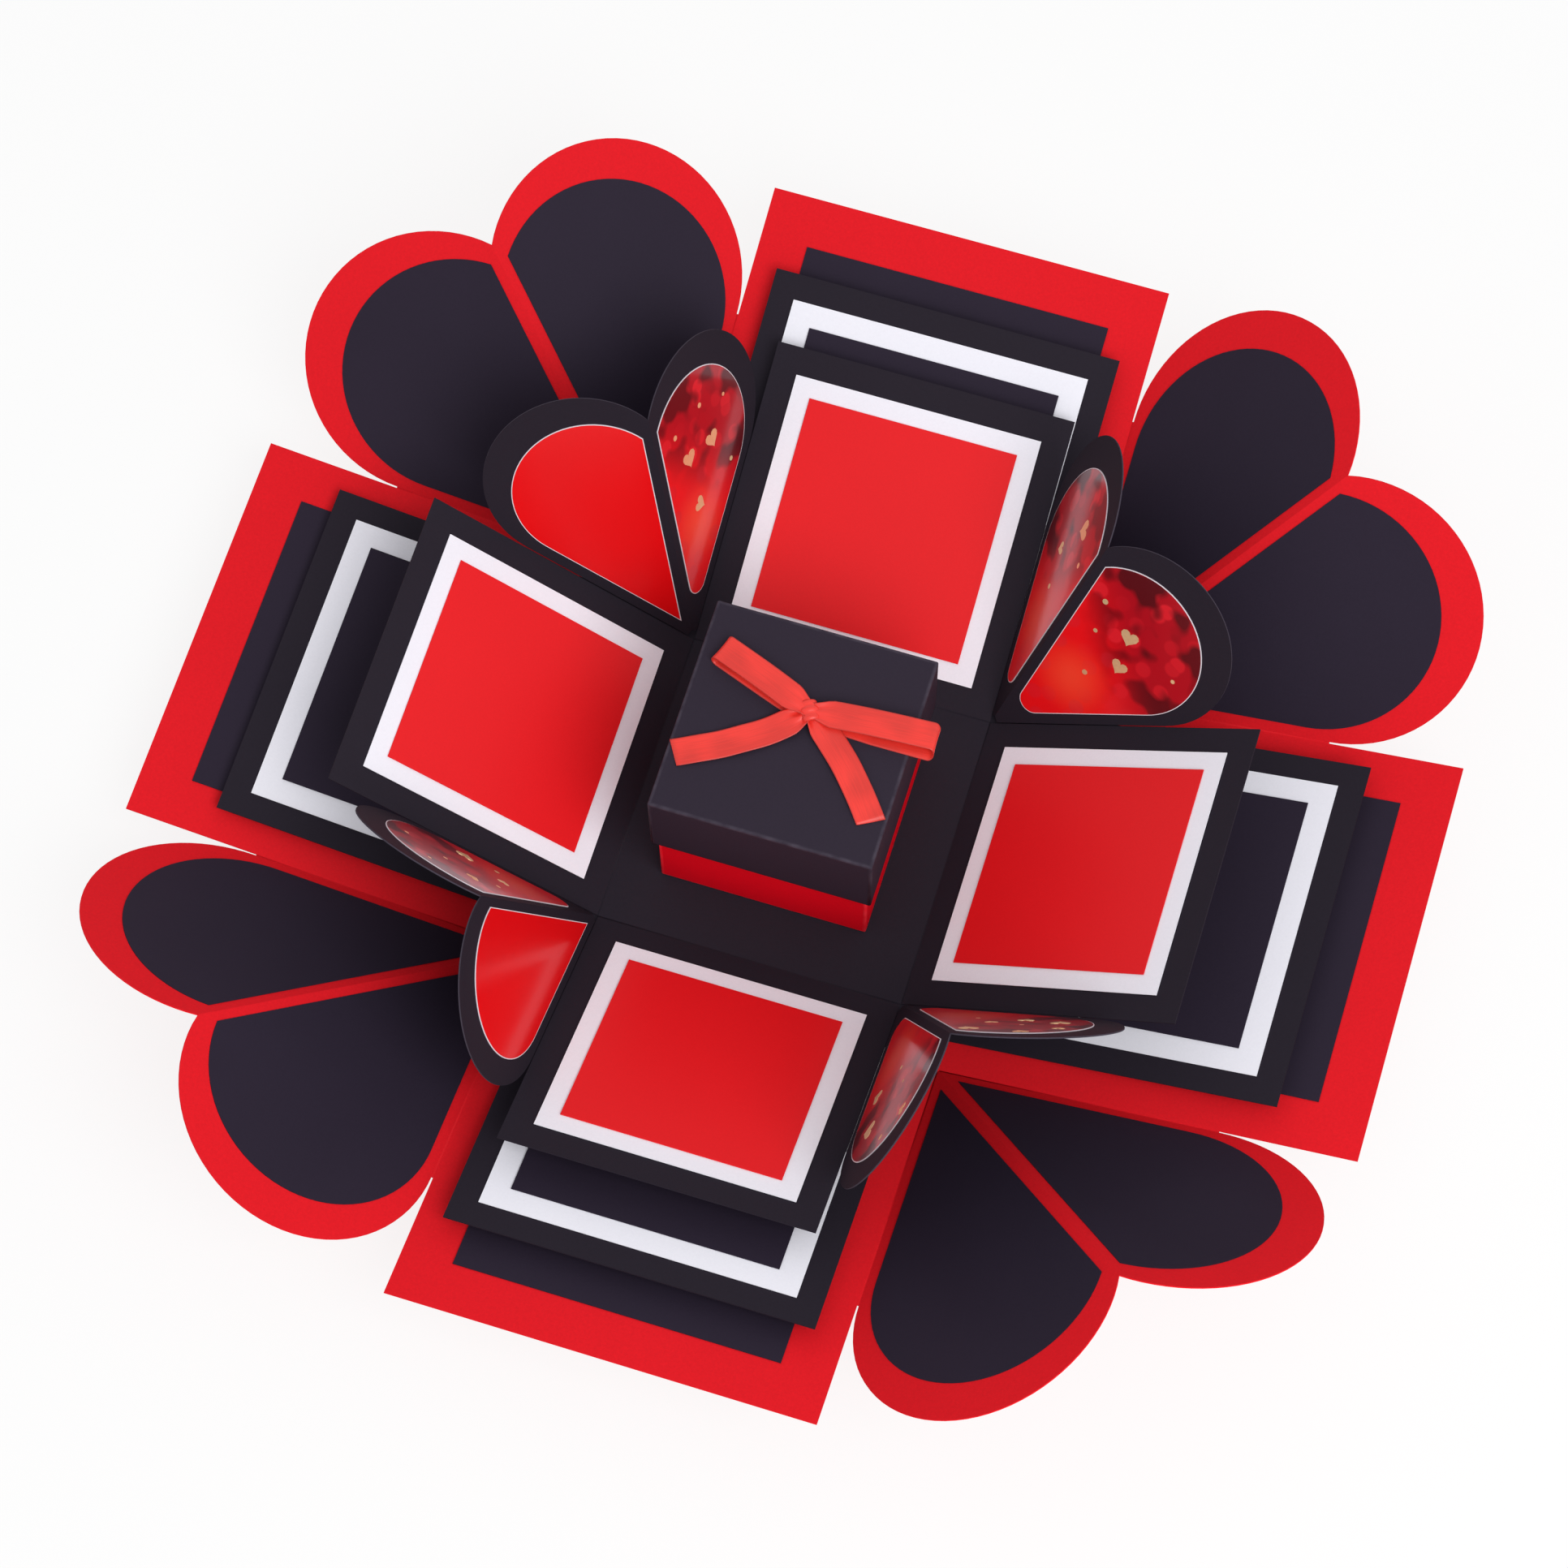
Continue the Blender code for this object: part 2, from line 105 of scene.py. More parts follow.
class CardSettings(bpy.types.PropertyGroup):
    thickness: bpy.props.FloatProperty(
        name="Card thickness", description="Thickness of the folded card", default=0.0005, min=0.0001,
        subtype="DISTANCE", unit="LENGTH", precision=5)
    mat_thickness: bpy.props.FloatProperty(
        name="Mat thickness", description="Thickness of the glued mats on the hearts", default=0.0003, min=0.0001,
        subtype="DISTANCE", unit="LENGTH", precision=5)
    fold_gap: bpy.props.FloatProperty(
        name="Fold gap", description="From a fold line to the edge of each panel beside it", default=0.00035,
        min=0.0, subtype="DISTANCE", unit="LENGTH", precision=5)
    red: bpy.props.FloatVectorProperty(
        name="Red card", description="Colour of the outer layer", default=linear("#e41c26"), subtype="COLOR",
        min=0.0, max=1.0)
    black: bpy.props.FloatVectorProperty(
        name="Black card", description="Colour of the middle and inner layers", default=linear("#28232c"),
        subtype="COLOR", min=0.0, max=1.0)
    black_mat: bpy.props.FloatVectorProperty(
        name="Black mat", description="Colour of the mats on the outer layer", default=linear("#2c2533"),
        subtype="COLOR", min=0.0, max=1.0)
    white: bpy.props.FloatVectorProperty(
        name="White mat", description="Colour of the square mats", default=linear("#f6f5ff"), subtype="COLOR",
        min=0.0, max=1.0)
    panel_red: bpy.props.FloatVectorProperty(
        name="Red panel", description="Colour of the square panels of the inner layer", default=linear("#ea1a21"),
        subtype="COLOR", min=0.0, max=1.0)


class HeartSettings(bpy.types.PropertyGroup):
    outer_shares: bpy.props.FloatVectorProperty(
        name="Outer shares", description="Radius of an outer half's round, and its height, as shares of the wall's "
        "side", default=(0.3233, 1.0), size=2, subtype="NONE")
    inner_shares: bpy.props.FloatVectorProperty(
        name="Inner shares", description="Radius of an inner half's round, and its height, as shares of the wall's "
        "side", default=(0.3090, 0.9650), size=2, subtype="NONE")
    outer_foot: bpy.props.FloatProperty(
        name="Outer foot", description="Height above the corner at which an outer half is cut off", default=0.0006,
        min=0.0, subtype="DISTANCE", unit="LENGTH", precision=5)
    inner_foot: bpy.props.FloatProperty(
        name="Inner foot", description="Height above the corner at which an inner half is cut off", default=0.0030,
        min=0.0, subtype="DISTANCE", unit="LENGTH", precision=5)
    outer_borders: bpy.props.FloatVectorProperty(
        name="Outer borders", description="Card that shows along the fold, the edge, the tip and the crease of an "
        "outer half", default=(0.0042, 0.0070, 0.0145, 0.0034), size=4, subtype="NONE", unit="LENGTH")
    inner_borders: bpy.props.FloatVectorProperty(
        name="Inner borders", description="Card that shows along the fold, the edge, the tip and the crease of an "
        "inner half", default=(0.0044, 0.0075, 0.0120, 0.0030), size=4, subtype="NONE", unit="LENGTH")
    outer_bow: bpy.props.FloatProperty(
        name="Outer bow", description="How far an outer half curves between its two folds", default=-0.0012,
        subtype="DISTANCE", unit="LENGTH", precision=5)
    inner_bow: bpy.props.FloatProperty(
        name="Inner bow", description="How far an inner half curves between its two folds", default=-0.0005,
        subtype="DISTANCE", unit="LENGTH", precision=5)
    white_margin: bpy.props.FloatProperty(
        name="White margin", description="Bare paper round the colour of an inner half", default=0.0003, min=0.0,
        subtype="DISTANCE", unit="LENGTH", precision=5)
    print_foot: bpy.props.FloatProperty(
        name="Print foot", description="Radius of the rounded foot of a printed half", default=0.0050, min=0.0,
        subtype="DISTANCE", unit="LENGTH", precision=5)
    gloss_red: bpy.props.FloatVectorProperty(
        name="Gloss red", description="Colour of the plain glossy halves", default=linear("#ea0c12"),
        subtype="COLOR", min=0.0, max=1.0)
    print_light: bpy.props.FloatVectorProperty(
        name="Print, light", description="Lower colour of the printed halves", default=linear("#f2141a"),
        subtype="COLOR", min=0.0, max=1.0)
    print_dark: bpy.props.FloatVectorProperty(
        name="Print, dark", description="Upper colour of the printed halves", default=linear("#b0081a"),
        subtype="COLOR", min=0.0, max=1.0)


class FoilSettings(bpy.types.PropertyGroup):
    motif_size: bpy.props.FloatProperty(
        name="Foil heart", description="Width of a foil heart", default=0.0062, min=0.001,
        subtype="DISTANCE", unit="LENGTH", precision=5)
    spacing: bpy.props.FloatProperty(
        name="Spacing", description="Least distance between two foil motifs", default=0.0130, min=0.002,
        subtype="DISTANCE", unit="LENGTH", precision=5)
    density: bpy.props.FloatProperty(
        name="Density", description="Foil motifs tried for each square metre of print", default=12000.0, min=0.0)
    seed: bpy.props.IntProperty(name="Seed", description="Seed of the foil motifs' places", default=11)
    gold: bpy.props.FloatVectorProperty(
        name="Foil", description="Colour of the foil", default=linear("#ffdfa8"), subtype="COLOR", min=0.0, max=1.0)


class GiftSettings(bpy.types.PropertyGroup):
    board: bpy.props.FloatProperty(
        name="Board", description="Thickness of the gift box's board", default=0.0008, min=0.0002,
        subtype="DISTANCE", unit="LENGTH", precision=5)
    edge_round: bpy.props.FloatProperty(
        name="Edge round", description="Radius of the wrapped edges", default=0.0007, min=0.0001,
        subtype="DISTANCE", unit="LENGTH", precision=5)
    turn_in: bpy.props.FloatProperty(
        name="Turn-in", description="Depth of the paper turned in over the rims", default=0.0140, min=0.001,
        subtype="DISTANCE", unit="LENGTH", precision=4)
    lid_colour: bpy.props.FloatVectorProperty(
        name="Lid", description="Colour of the lid's paper", default=linear("#302935"), subtype="COLOR",
        min=0.0, max=1.0)
    tray_colour: bpy.props.FloatVectorProperty(
        name="Tray", description="Colour of the tray's paper", default=linear("#e20a20"), subtype="COLOR",
        min=0.0, max=1.0)


class RibbonSettings(bpy.types.PropertyGroup):
    width: bpy.props.FloatProperty(
        name="Ribbon width", description="Width of the ribbon", default=0.0100, min=0.001,
        subtype="DISTANCE", unit="LENGTH", precision=5)
    thickness: bpy.props.FloatProperty(
        name="Ribbon thickness", description="Thickness of the ribbon", default=0.0003, min=0.0001,
        subtype="DISTANCE", unit="LENGTH", precision=5)
    waist: bpy.props.FloatProperty(
        name="Waist", description="Width of the gathered ribbon at the knot", default=0.0054, min=0.001,
        subtype="DISTANCE", unit="LENGTH", precision=5)
    gather: bpy.props.FloatProperty(
        name="Gather", description="How far the gathers run from the knot", default=0.0085, min=0.001,
        subtype="DISTANCE", unit="LENGTH", precision=5)
    knot_north: bpy.props.FloatProperty(
        name="Knot north", description="How far the knot lies north of the lid's middle", default=0.0081,
        subtype="DISTANCE", unit="LENGTH", precision=5)
    knot_east: bpy.props.FloatProperty(
        name="Knot east", description="How far the knot lies east of the lid's middle", default=0.0032,
        subtype="DISTANCE", unit="LENGTH", precision=5)
    loop_rise: bpy.props.FloatProperty(
        name="Loop rise", description="Height of a loop's upper strand over its lower one", default=0.0036, min=0.001,
        subtype="DISTANCE", unit="LENGTH", precision=5)
    west_loop: bpy.props.FloatProperty(
        name="West loop", description="Length of the west loop", default=0.0385, min=0.01,
        subtype="DISTANCE", unit="LENGTH", precision=4)
    east_loop: bpy.props.FloatProperty(
        name="East loop", description="Length of the east loop", default=0.0445, min=0.01,
        subtype="DISTANCE", unit="LENGTH", precision=4)
    west_tail: bpy.props.FloatProperty(
        name="West tail", description="Length of the west tail", default=0.0490, min=0.01,
        subtype="DISTANCE", unit="LENGTH", precision=4)
    south_tail: bpy.props.FloatProperty(
        name="South tail", description="Length of the south tail", default=0.0450, min=0.01,
        subtype="DISTANCE", unit="LENGTH", precision=4)
    colour: bpy.props.FloatVectorProperty(
        name="Ribbon", description="Colour of the satin", default=linear("#ee362c"), subtype="COLOR",
        min=0.0, max=1.0)


class StageSettings(bpy.types.PropertyGroup):
    azimuth: bpy.props.FloatProperty(
        name="Azimuth", description="Direction the camera looks in, from north", default=math.radians(-18.18),
        subtype="ANGLE", unit="ROTATION")
    elevation: bpy.props.FloatProperty(
        name="Elevation", description="Height of the camera above the horizon", default=math.radians(68.17),
        subtype="ANGLE", unit="ROTATION")
    roll: bpy.props.FloatProperty(
        name="Roll", description="Turn of the camera about its own line of sight", default=math.radians(-0.98),
        subtype="ANGLE", unit="ROTATION")
    distance: bpy.props.FloatProperty(
        name="Distance", description="From the camera to its target", default=1.4755, min=0.2,
        subtype="DISTANCE", unit="LENGTH")
    target: bpy.props.FloatVectorProperty(
        name="Target", description="The point that the camera looks at", default=(-0.00818, 0.01220, 0.0),
        subtype="XYZ", unit="LENGTH")
    lens: bpy.props.FloatProperty(
        name="Lens", description="Focal length in millimetres on a 36 mm sensor", default=94.62, min=10.0)
    key_power: bpy.props.FloatProperty(
        name="Key light", description="Power of the softbox", default=18.3, min=0.0, unit="POWER")
    fill: bpy.props.FloatProperty(
        name="Fill", description="Strength of the even light from all round", default=0.64, min=0.0)


class ExplosionBoxSettings(bpy.types.PropertyGroup):
    card: bpy.props.PointerProperty(type=CardSettings)
    hearts: bpy.props.PointerProperty(type=HeartSettings)
    foil: bpy.props.PointerProperty(type=FoilSettings)
    gift: bpy.props.PointerProperty(type=GiftSettings)
    ribbon: bpy.props.PointerProperty(type=RibbonSettings)
    stage: bpy.props.PointerProperty(type=StageSettings)


# Materials

def add_node(tree, kind, inputs=None, **settings):
    """Adds a node, with values or links on its inputs, which are named or numbered."""
    node = tree.nodes.new(kind)
    for key, value in settings.items():
        setattr(node, key, value)
    for key, value in (inputs or {}).items():
        if isinstance(value, bpy.types.NodeSocket):
            tree.links.new(value, node.inputs[key])
        else:
            node.inputs[key].default_value = value
    return node


def new_material(name):
    """A new material, its tree and its main shader."""
    material = bpy.data.materials.new(name)
    material.use_nodes = True
    return material, material.node_tree, material.node_tree.nodes["Principled BSDF"]


def tinted(colour, factor):
    return tuple(min(v * factor, 1.0) for v in colour) + (1.0,)


def paper_nodes(tree, colour, fibre, cloud, fibre_depth, cloud_depth):
    """Colour and height of a paper: pulp fibres over a slow cloudiness, both on the sheet's own coordinates."""
    place = add_node(tree, "ShaderNodeTexCoord").outputs["Object"]
    fibres = add_node(tree, "ShaderNodeTexNoise", {"Vector": place, "Scale": 1 / fibre, "Detail": 5.0,
                                                   "Roughness": 0.7, "Distortion": 0.6})
    clouds = add_node(tree, "ShaderNodeTexNoise", {"Vector": place, "Scale": 1 / cloud, "Detail": 2.0,
                                                   "Roughness": 0.5})
    broad = add_node(tree, "ShaderNodeMix", {0: clouds.outputs["Fac"], 6: tinted(colour, 1 - cloud_depth),
                                             7: tinted(colour, 1 + cloud_depth)}, data_type="RGBA")
    speck = add_node(tree, "ShaderNodeMapRange", {"Value": fibres.outputs["Fac"], "From Min": 0.3, "From Max": 0.7,
                                                  "To Min": 1 - fibre_depth, "To Max": 1 + fibre_depth})
    shade = add_node(tree, "ShaderNodeMix", {0: 1.0, 6: broad.outputs[2], 7: speck.outputs["Result"]},
                     data_type="RGBA", blend_type="MULTIPLY")
    return shade.outputs[2], fibres.outputs["Fac"], place


def make_card(name, colour, roughness, fibre, fibre_depth, bump, cloud_depth=0.03, coat=0.0, coat_roughness=0.2):
    """A sheet of paper or card."""
    material, tree, shader = new_material(name)
    shade, height, _ = paper_nodes(tree, colour, fibre, 0.045, fibre_depth, cloud_depth)
    tree.links.new(shade, shader.inputs["Base Color"])
    relief = add_node(tree, "ShaderNodeBump", {"Height": height, "Strength": bump, "Distance": 0.00006})
    tree.links.new(relief.outputs["Normal"], shader.inputs["Normal"])
    rough = add_node(tree, "ShaderNodeMapRange", {"Value": height, "To Min": roughness - 0.06,
                                                  "To Max": roughness + 0.06})
    tree.links.new(rough.outputs["Result"], shader.inputs["Roughness"])
    shader.inputs["IOR"].default_value = 1.45
    shader.inputs["Specular IOR Level"].default_value = PAPER_SPECULAR
    shader.inputs["Coat Weight"].default_value = coat
    shader.inputs["Coat Roughness"].default_value = coat_roughness
    return material


def dyed_card(card, name, colour):
    # Uncoated card dyed through the pulp: matt, with short fibres about 0.6 mm apart, drawn at 0.9 mm so they show
    return make_card(name, colour, 0.66, 0.9 * MM, 0.07, 0.5, cloud_depth=0.035)


def print_material(hearts):
    """Printed gloss paper: deep red at the top with soft round lights, bright red below, under a clear varnish."""
    # Offset print under gloss varnish on white art paper: saturated, with a clear mirror-like coat
    material, tree, shader = new_material("varnished_print")
    panel = add_node(tree, "ShaderNodeUVMap", uv_map="panel").outputs["UV"]
    axes = add_node(tree, "ShaderNodeSeparateXYZ", {"Vector": panel})
    # Share of the way up the half, at which the bright field turns to the dark one
    rise = add_node(tree, "ShaderNodeMapRange", {"Value": axes.outputs["Y"], "From Min": 0.42, "From Max": 0.66},
                    interpolation_type="SMOOTHSTEP")
    field = add_node(tree, "ShaderNodeMix", {0: rise.outputs["Result"], 6: tinted(hearts.print_light, 1.0),
                                             7: tinted(hearts.print_dark, 1.0)}, data_type="RGBA")
    # Soft out-of-focus discs, about 9 mm apart on a half 112 mm long
    discs = add_node(tree, "ShaderNodeTexVoronoi", {"Vector": panel, "Scale": 12.0, "Randomness": 0.85},
                     voronoi_dimensions="2D")
    disc = add_node(tree, "ShaderNodeMapRange", {"Value": discs.outputs["Distance"], "From Min": 0.38,
                                                 "From Max": 0.26}, interpolation_type="SMOOTHSTEP")
    tone = add_node(tree, "ShaderNodeSeparateColor", {"Color": discs.outputs["Color"]})
    pale = add_node(tree, "ShaderNodeMath", {0: disc.outputs["Result"], 1: tone.outputs["Red"]},
                    operation="MULTIPLY")
    lit = add_node(tree, "ShaderNodeMix", {0: pale.outputs["Value"], 6: field.outputs[2],
                                           7: tinted(linear("#e2202c"), 1.0)}, data_type="RGBA")
    deep = add_node(tree, "ShaderNodeTexNoise", {"Vector": panel, "Scale": 9.0, "Detail": 1.0}, noise_dimensions="2D")
    hollow = add_node(tree, "ShaderNodeMapRange", {"Value": deep.outputs["Fac"], "From Min": 0.48, "From Max": 0.60})
    shadow = add_node(tree, "ShaderNodeMath", {0: hollow.outputs["Result"], 1: rise.outputs["Result"]},
                      operation="MULTIPLY")
    dark = add_node(tree, "ShaderNodeMix", {0: shadow.outputs["Value"], 6: lit.outputs[2],
                                            7: tinted(linear("#5a0610"), 1.0)}, data_type="RGBA")
    # One warm glow low on the half, as from a lamp outside the picture
    spot = add_node(tree, "ShaderNodeVectorMath", {0: panel, 1: (0.17, 0.36, 0.0)}, operation="DISTANCE")
    glow = add_node(tree, "ShaderNodeMapRange", {"Value": spot.outputs["Value"], "From Min": 0.16, "From Max": 0.0,
                                                 "To Max": 0.85}, interpolation_type="SMOOTHSTEP")
    warm = add_node(tree, "ShaderNodeMix", {0: glow.outputs["Result"], 6: dark.outputs[2],
                                            7: tinted(linear("#ff4a30"), 1.0)}, data_type="RGBA")
    tree.links.new(warm.outputs[2], shader.inputs["Base Color"])
    shader.inputs["Roughness"].default_value = 0.32
    shader.inputs["IOR"].default_value = 1.5
    shader.inputs["Specular IOR Level"].default_value = 0.2
    shader.inputs["Coat Weight"].default_value = 0.65
    shader.inputs["Coat Roughness"].default_value = 0.12
    return material


def satin_material(ribbon):
    """Woven satin ribbon."""
    # Polyester satin: long warp floats give it lengthwise lines and a soft bright sheen; its selvedges are denser
    material, tree, shader = new_material("satin_ribbon")
    weave = add_node(tree, "ShaderNodeUVMap", uv_map="weave").outputs["UV"]
    # Floats about 0.15 mm apart, drawn at 0.45 mm, long against the ribbon's length; the map is in metres
    stretched = add_node(tree, "ShaderNodeMapping", {"Vector": weave, "Scale": (1 / 0.00045, 1 / 0.012, 1.0)})
    floats = add_node(tree, "ShaderNodeTexNoise", {"Vector": stretched.outputs["Vector"], "Scale": 1.0,
                                                   "Detail": 3.0, "Roughness": 0.6}, noise_dimensions="2D")
    axes = add_node(tree, "ShaderNodeSeparateXYZ", {"Vector": weave})
    off_middle = add_node(tree, "ShaderNodeMath", {0: axes.outputs["X"]}, operation="ABSOLUTE")
    selvedge = add_node(tree, "ShaderNodeMapRange", {"Value": off_middle.outputs["Value"],
                                                     "From Min": ribbon.width * 0.455,
                                                     "From Max": ribbon.width * 0.475})
    shade = add_node(tree, "ShaderNodeMix", {0: floats.outputs["Fac"], 6: tinted(ribbon.colour, 0.84),
                                             7: tinted(ribbon.colour, 1.14)}, data_type="RGBA")
    # Painted shade and sheen: soft patches about 9 mm long, mostly darker, that stand in for the satin's shading
    sheen_and_shade_patches = add_node(tree, "ShaderNodeTexNoise", {"Vector": weave, "Scale": 1 / 0.009, "Detail": 0.0},
                       noise_dimensions="2D")
    painted_sheen_shade = add_node(tree, "ShaderNodeMapRange", {"Value": sheen_and_shade_patches.outputs["Fac"], "From Min": 0.3,
                                                  "From Max": 0.7, "To Min": 0.86, "To Max": 1.02})
    uneven = add_node(tree, "ShaderNodeMix", {0: 1.0, 6: shade.outputs[2], 7: painted_sheen_shade.outputs["Result"]},
                      data_type="RGBA", blend_type="MULTIPLY")
    edged = add_node(tree, "ShaderNodeMix", {0: selvedge.outputs["Result"], 6: uneven.outputs[2],
                                             7: tinted(ribbon.colour, 0.72)}, data_type="RGBA")
    tree.links.new(edged.outputs[2], shader.inputs["Base Color"])
    height = add_node(tree, "ShaderNodeMath", {0: floats.outputs["Fac"], 1: selvedge.outputs["Result"]},
                      operation="ADD")
    relief = add_node(tree, "ShaderNodeBump", {"Height": height.outputs["Value"], "Strength": 0.35,
                                               "Distance": 0.00008})
    tree.links.new(relief.outputs["Normal"], shader.inputs["Normal"])
    shader.inputs["Roughness"].default_value = 0.36
    shader.inputs["Sheen Weight"].default_value = 0.22
    shader.inputs["Sheen Roughness"].default_value = 0.4
    shader.inputs["Sheen Tint"].default_value = tinted(linear("#ff8a78"), 1.0)
    return material


def wrap_material(name, colour, wear_and_highlight):
    """Paper wrapped round board, paler along its edges: partly rubbed wear, partly a painted highlight."""
    # Smooth matt wrapping paper glued round greyboard: its rounded edges are painted paler, partly rubbed wear and
    # partly a painted highlight where the edges catch the light; a vertex attribute marks them
    material, tree, shader = new_material(name)
    shade, height, place = paper_nodes(tree, colour, 0.7 * MM, 0.03, 0.06, 0.04)
    # Patches of painted edge highlight and wear, mixed in along the marked edges
    wear_and_highlight_share = add_node(tree, "ShaderNodeAttribute", attribute_name="wear_and_highlight").outputs["Fac"]
    patches = add_node(tree, "ShaderNodeTexNoise", {"Vector": place, "Scale": 220.0, "Detail": 4.0})
    rubbed_and_lit = add_node(tree, "ShaderNodeMapRange", {"Value": patches.outputs["Fac"], "From Min": 0.35,
                                                   "From Max": 0.65, "To Min": 0.15, "To Max": 0.8})
    amount = add_node(tree, "ShaderNodeMath", {0: wear_and_highlight_share, 1: rubbed_and_lit.outputs["Result"]}, operation="MULTIPLY")
    edged = add_node(tree, "ShaderNodeMix", {0: amount.outputs["Value"], 6: shade, 7: tinted(wear_and_highlight, 1.0)},
                     data_type="RGBA")
    tree.links.new(edged.outputs[2], shader.inputs["Base Color"])
    relief = add_node(tree, "ShaderNodeBump", {"Height": height, "Strength": 0.4, "Distance": 0.00005})
    tree.links.new(relief.outputs["Normal"], shader.inputs["Normal"])
    shader.inputs["Roughness"].default_value = 0.55
    shader.inputs["IOR"].default_value = 1.45
    shader.inputs["Specular IOR Level"].default_value = PAPER_SPECULAR
    return material


def foil_material(foil):
    # Hot-stamped metallic foil: a thin even film of metal, slightly crinkled by the paper under it
    material, tree, shader = new_material("stamped_gold_foil")
    place = add_node(tree, "ShaderNodeTexCoord").outputs["Object"]
    crinkle = add_node(tree, "ShaderNodeTexNoise", {"Vector": place, "Scale": 900.0, "Detail": 3.0})
    shade = add_node(tree, "ShaderNodeMix", {0: crinkle.outputs["Fac"], 6: tinted(foil.gold, 0.85),
                                             7: tinted(foil.gold, 1.1)}, data_type="RGBA")
    tree.links.new(shade.outputs[2], shader.inputs["Base Color"])
    relief = add_node(tree, "ShaderNodeBump", {"Height": crinkle.outputs["Fac"], "Strength": 0.3,
                                               "Distance": 0.00005})
    tree.links.new(relief.outputs["Normal"], shader.inputs["Normal"])
    shader.inputs["Metallic"].default_value = 0.6
    shader.inputs["Roughness"].default_value = 0.34
    return material


def dress(nodes, material):
    """Gives carried-over nodes a material."""
    for name in nodes:
        mesh = frame["nodes"][name].data
        mesh.materials.clear()
        mesh.materials.append(material)


# Places of the walls and hearts, read from the frame

def wall_place(layer, wall):
    """Matrix of a wall: right, up the wall and front, from the middle of its fold line."""
    joint = JOINTS[f"{layer}_fold_{wall}"]
    foot, right = Vector(joint["pos_m"]), Vector(joint["axis"]).normalized()
    low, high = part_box(f"{layer}_wall_{wall}")
    up = (low + high) / 2 - foot
    up = (up - right * up.dot(right)).normalized()
    return Matrix.Translation(foot) @ Matrix((right, up, right.cross(up))).transposed().to_4x4()


def neighbour_of(wall, sign):
    return RIGHT_NEIGHBOURS[wall] if sign > 0 else LEFT_NEIGHBOURS[wall]


def heart_node(layer, wall, sign):
    return f"{layer}_heart_{(RIGHT_HEARTS if sign > 0 else LEFT_HEARTS)[wall]}_{wall}"


def heart_shape(hearts, layer):
    """The foot, and the shares of the wall's side, of a layer's hearts."""
    if layer == "outer":
        return hearts.outer_foot, hearts.outer_shares
    return hearts.inner_foot, hearts.inner_shares


def ridge_direction(edge, other_edge):
    """A heart's crease: 45 degrees from the side edges of both walls, on the side that stands up."""
    along = math.cos(math.radians(45)) / (1 + edge.dot(other_edge))
    across = edge.cross(other_edge)
    if across.z < 0:
        across.negate()
    rest = 1 - along * along * (edge + other_edge).length_squared
    return along * (edge + other_edge) + across.normalized() * math.sqrt(max(rest, 0.0))


def heart_place(layer, wall, sign, side):
    """Matrix of half a heart, from the corner: x away from its fold (times sign), y up the fold, z to the front."""
    place = wall_place(layer, wall)
    right, edge, front = (place.col[i].to_3d() for i in range(3))
    ridge = ridge_direction(edge, wall_place(layer, neighbour_of(wall, sign)).col[1].to_3d())
    bend = math.atan2(ridge.dot(front), ridge.dot(sign * right))
    corner = place @ Vector((sign * side / 2, 0.0, 0.0))
    return Matrix.Translation(corner) @ place.to_3x3().to_4x4() @ Matrix.Rotation(-sign * bend, 4, "Y")


def heart_outline(side, shares, foot, borders, foot_radius=0.0, steps=40):
    """Half a heart, set in by borders along the fold, the edge, the tip and the crease, its foot round if asked."""
    arc_share, top_share = shares
    fold_border, edge_border, tip_border, crease_border = borders
    offset = crease_border * math.sqrt(2)
    arc = side * arc_share - (fold_border + edge_border) / 2
    centre = Vector((fold_border + arc, side * top_share - tip_border - arc))
    to_crease = (centre.y - centre.x - offset) / math.sqrt(2)
    along = math.sqrt(arc * arc - to_crease * to_crease)
    cleft = Vector((to_crease + along, along - to_crease)) / math.sqrt(2)
    last = math.atan2(cleft.y, cleft.x)
    points = [Vector((fold_border, max(fold_border + offset, foot)))]
    if foot_radius:
        # A circle that touches the fold's line and the crease's line, which meet at 45 degrees
        reach = foot_radius / math.sin(math.radians(22.5))
        lowest = points.pop() + reach * Vector((math.sin(math.radians(22.5)), math.cos(math.radians(22.5))))
        for step in range(13):
            angle = math.radians(-45 - 135 * step / 12)
            points.append(lowest + foot_radius * Vector((math.cos(angle), math.sin(angle))))
    elif fold_border + offset < foot:
        points.insert(0, Vector((foot - offset, foot)))
    for step in range(steps + 1):
        angle = math.pi + (last - math.pi) * step / steps
        points.append(centre + arc * Vector((math.cos(angle), math.sin(angle))))
    return points


# Meshes

def finished_object(name, shape, materials):
    """Turns a bmesh into a linked object with its materials, and frees it."""
    bmesh.ops.recalc_face_normals(shape, faces=shape.faces)
    mesh = bpy.data.meshes.new(name)
    shape.to_mesh(mesh)
    shape.free()
    for material in materials:
        mesh.materials.append(material)
    obj = bpy.data.objects.new(name, mesh)
    bpy.context.scene.collection.objects.link(obj)
    return obj


def gridded_face(outline):
    """A flat face of the outline, cut into cells so that it can bow."""
    flat = bmesh.new()
    flat.faces.new([flat.verts.new((x, y, 0.0)) for x, y in outline])
    for axis in (0, 1):
        low, high = min(p[axis] for p in outline), max(p[axis] for p in outline)
        for step in range(math.ceil(low / CELL), math.floor(high / CELL) + 1):
            spot, normal = Vector((0.0, 0.0, 0.0)), Vector((0.0, 0.0, 0.0))
            spot[axis], normal[axis] = step * CELL, 1.0
            bmesh.ops.bisect_plane(flat, geom=flat.verts[:] + flat.edges[:] + flat.faces[:], plane_co=spot,
                                   plane_no=normal, dist=CELL / 1000)
    return flat


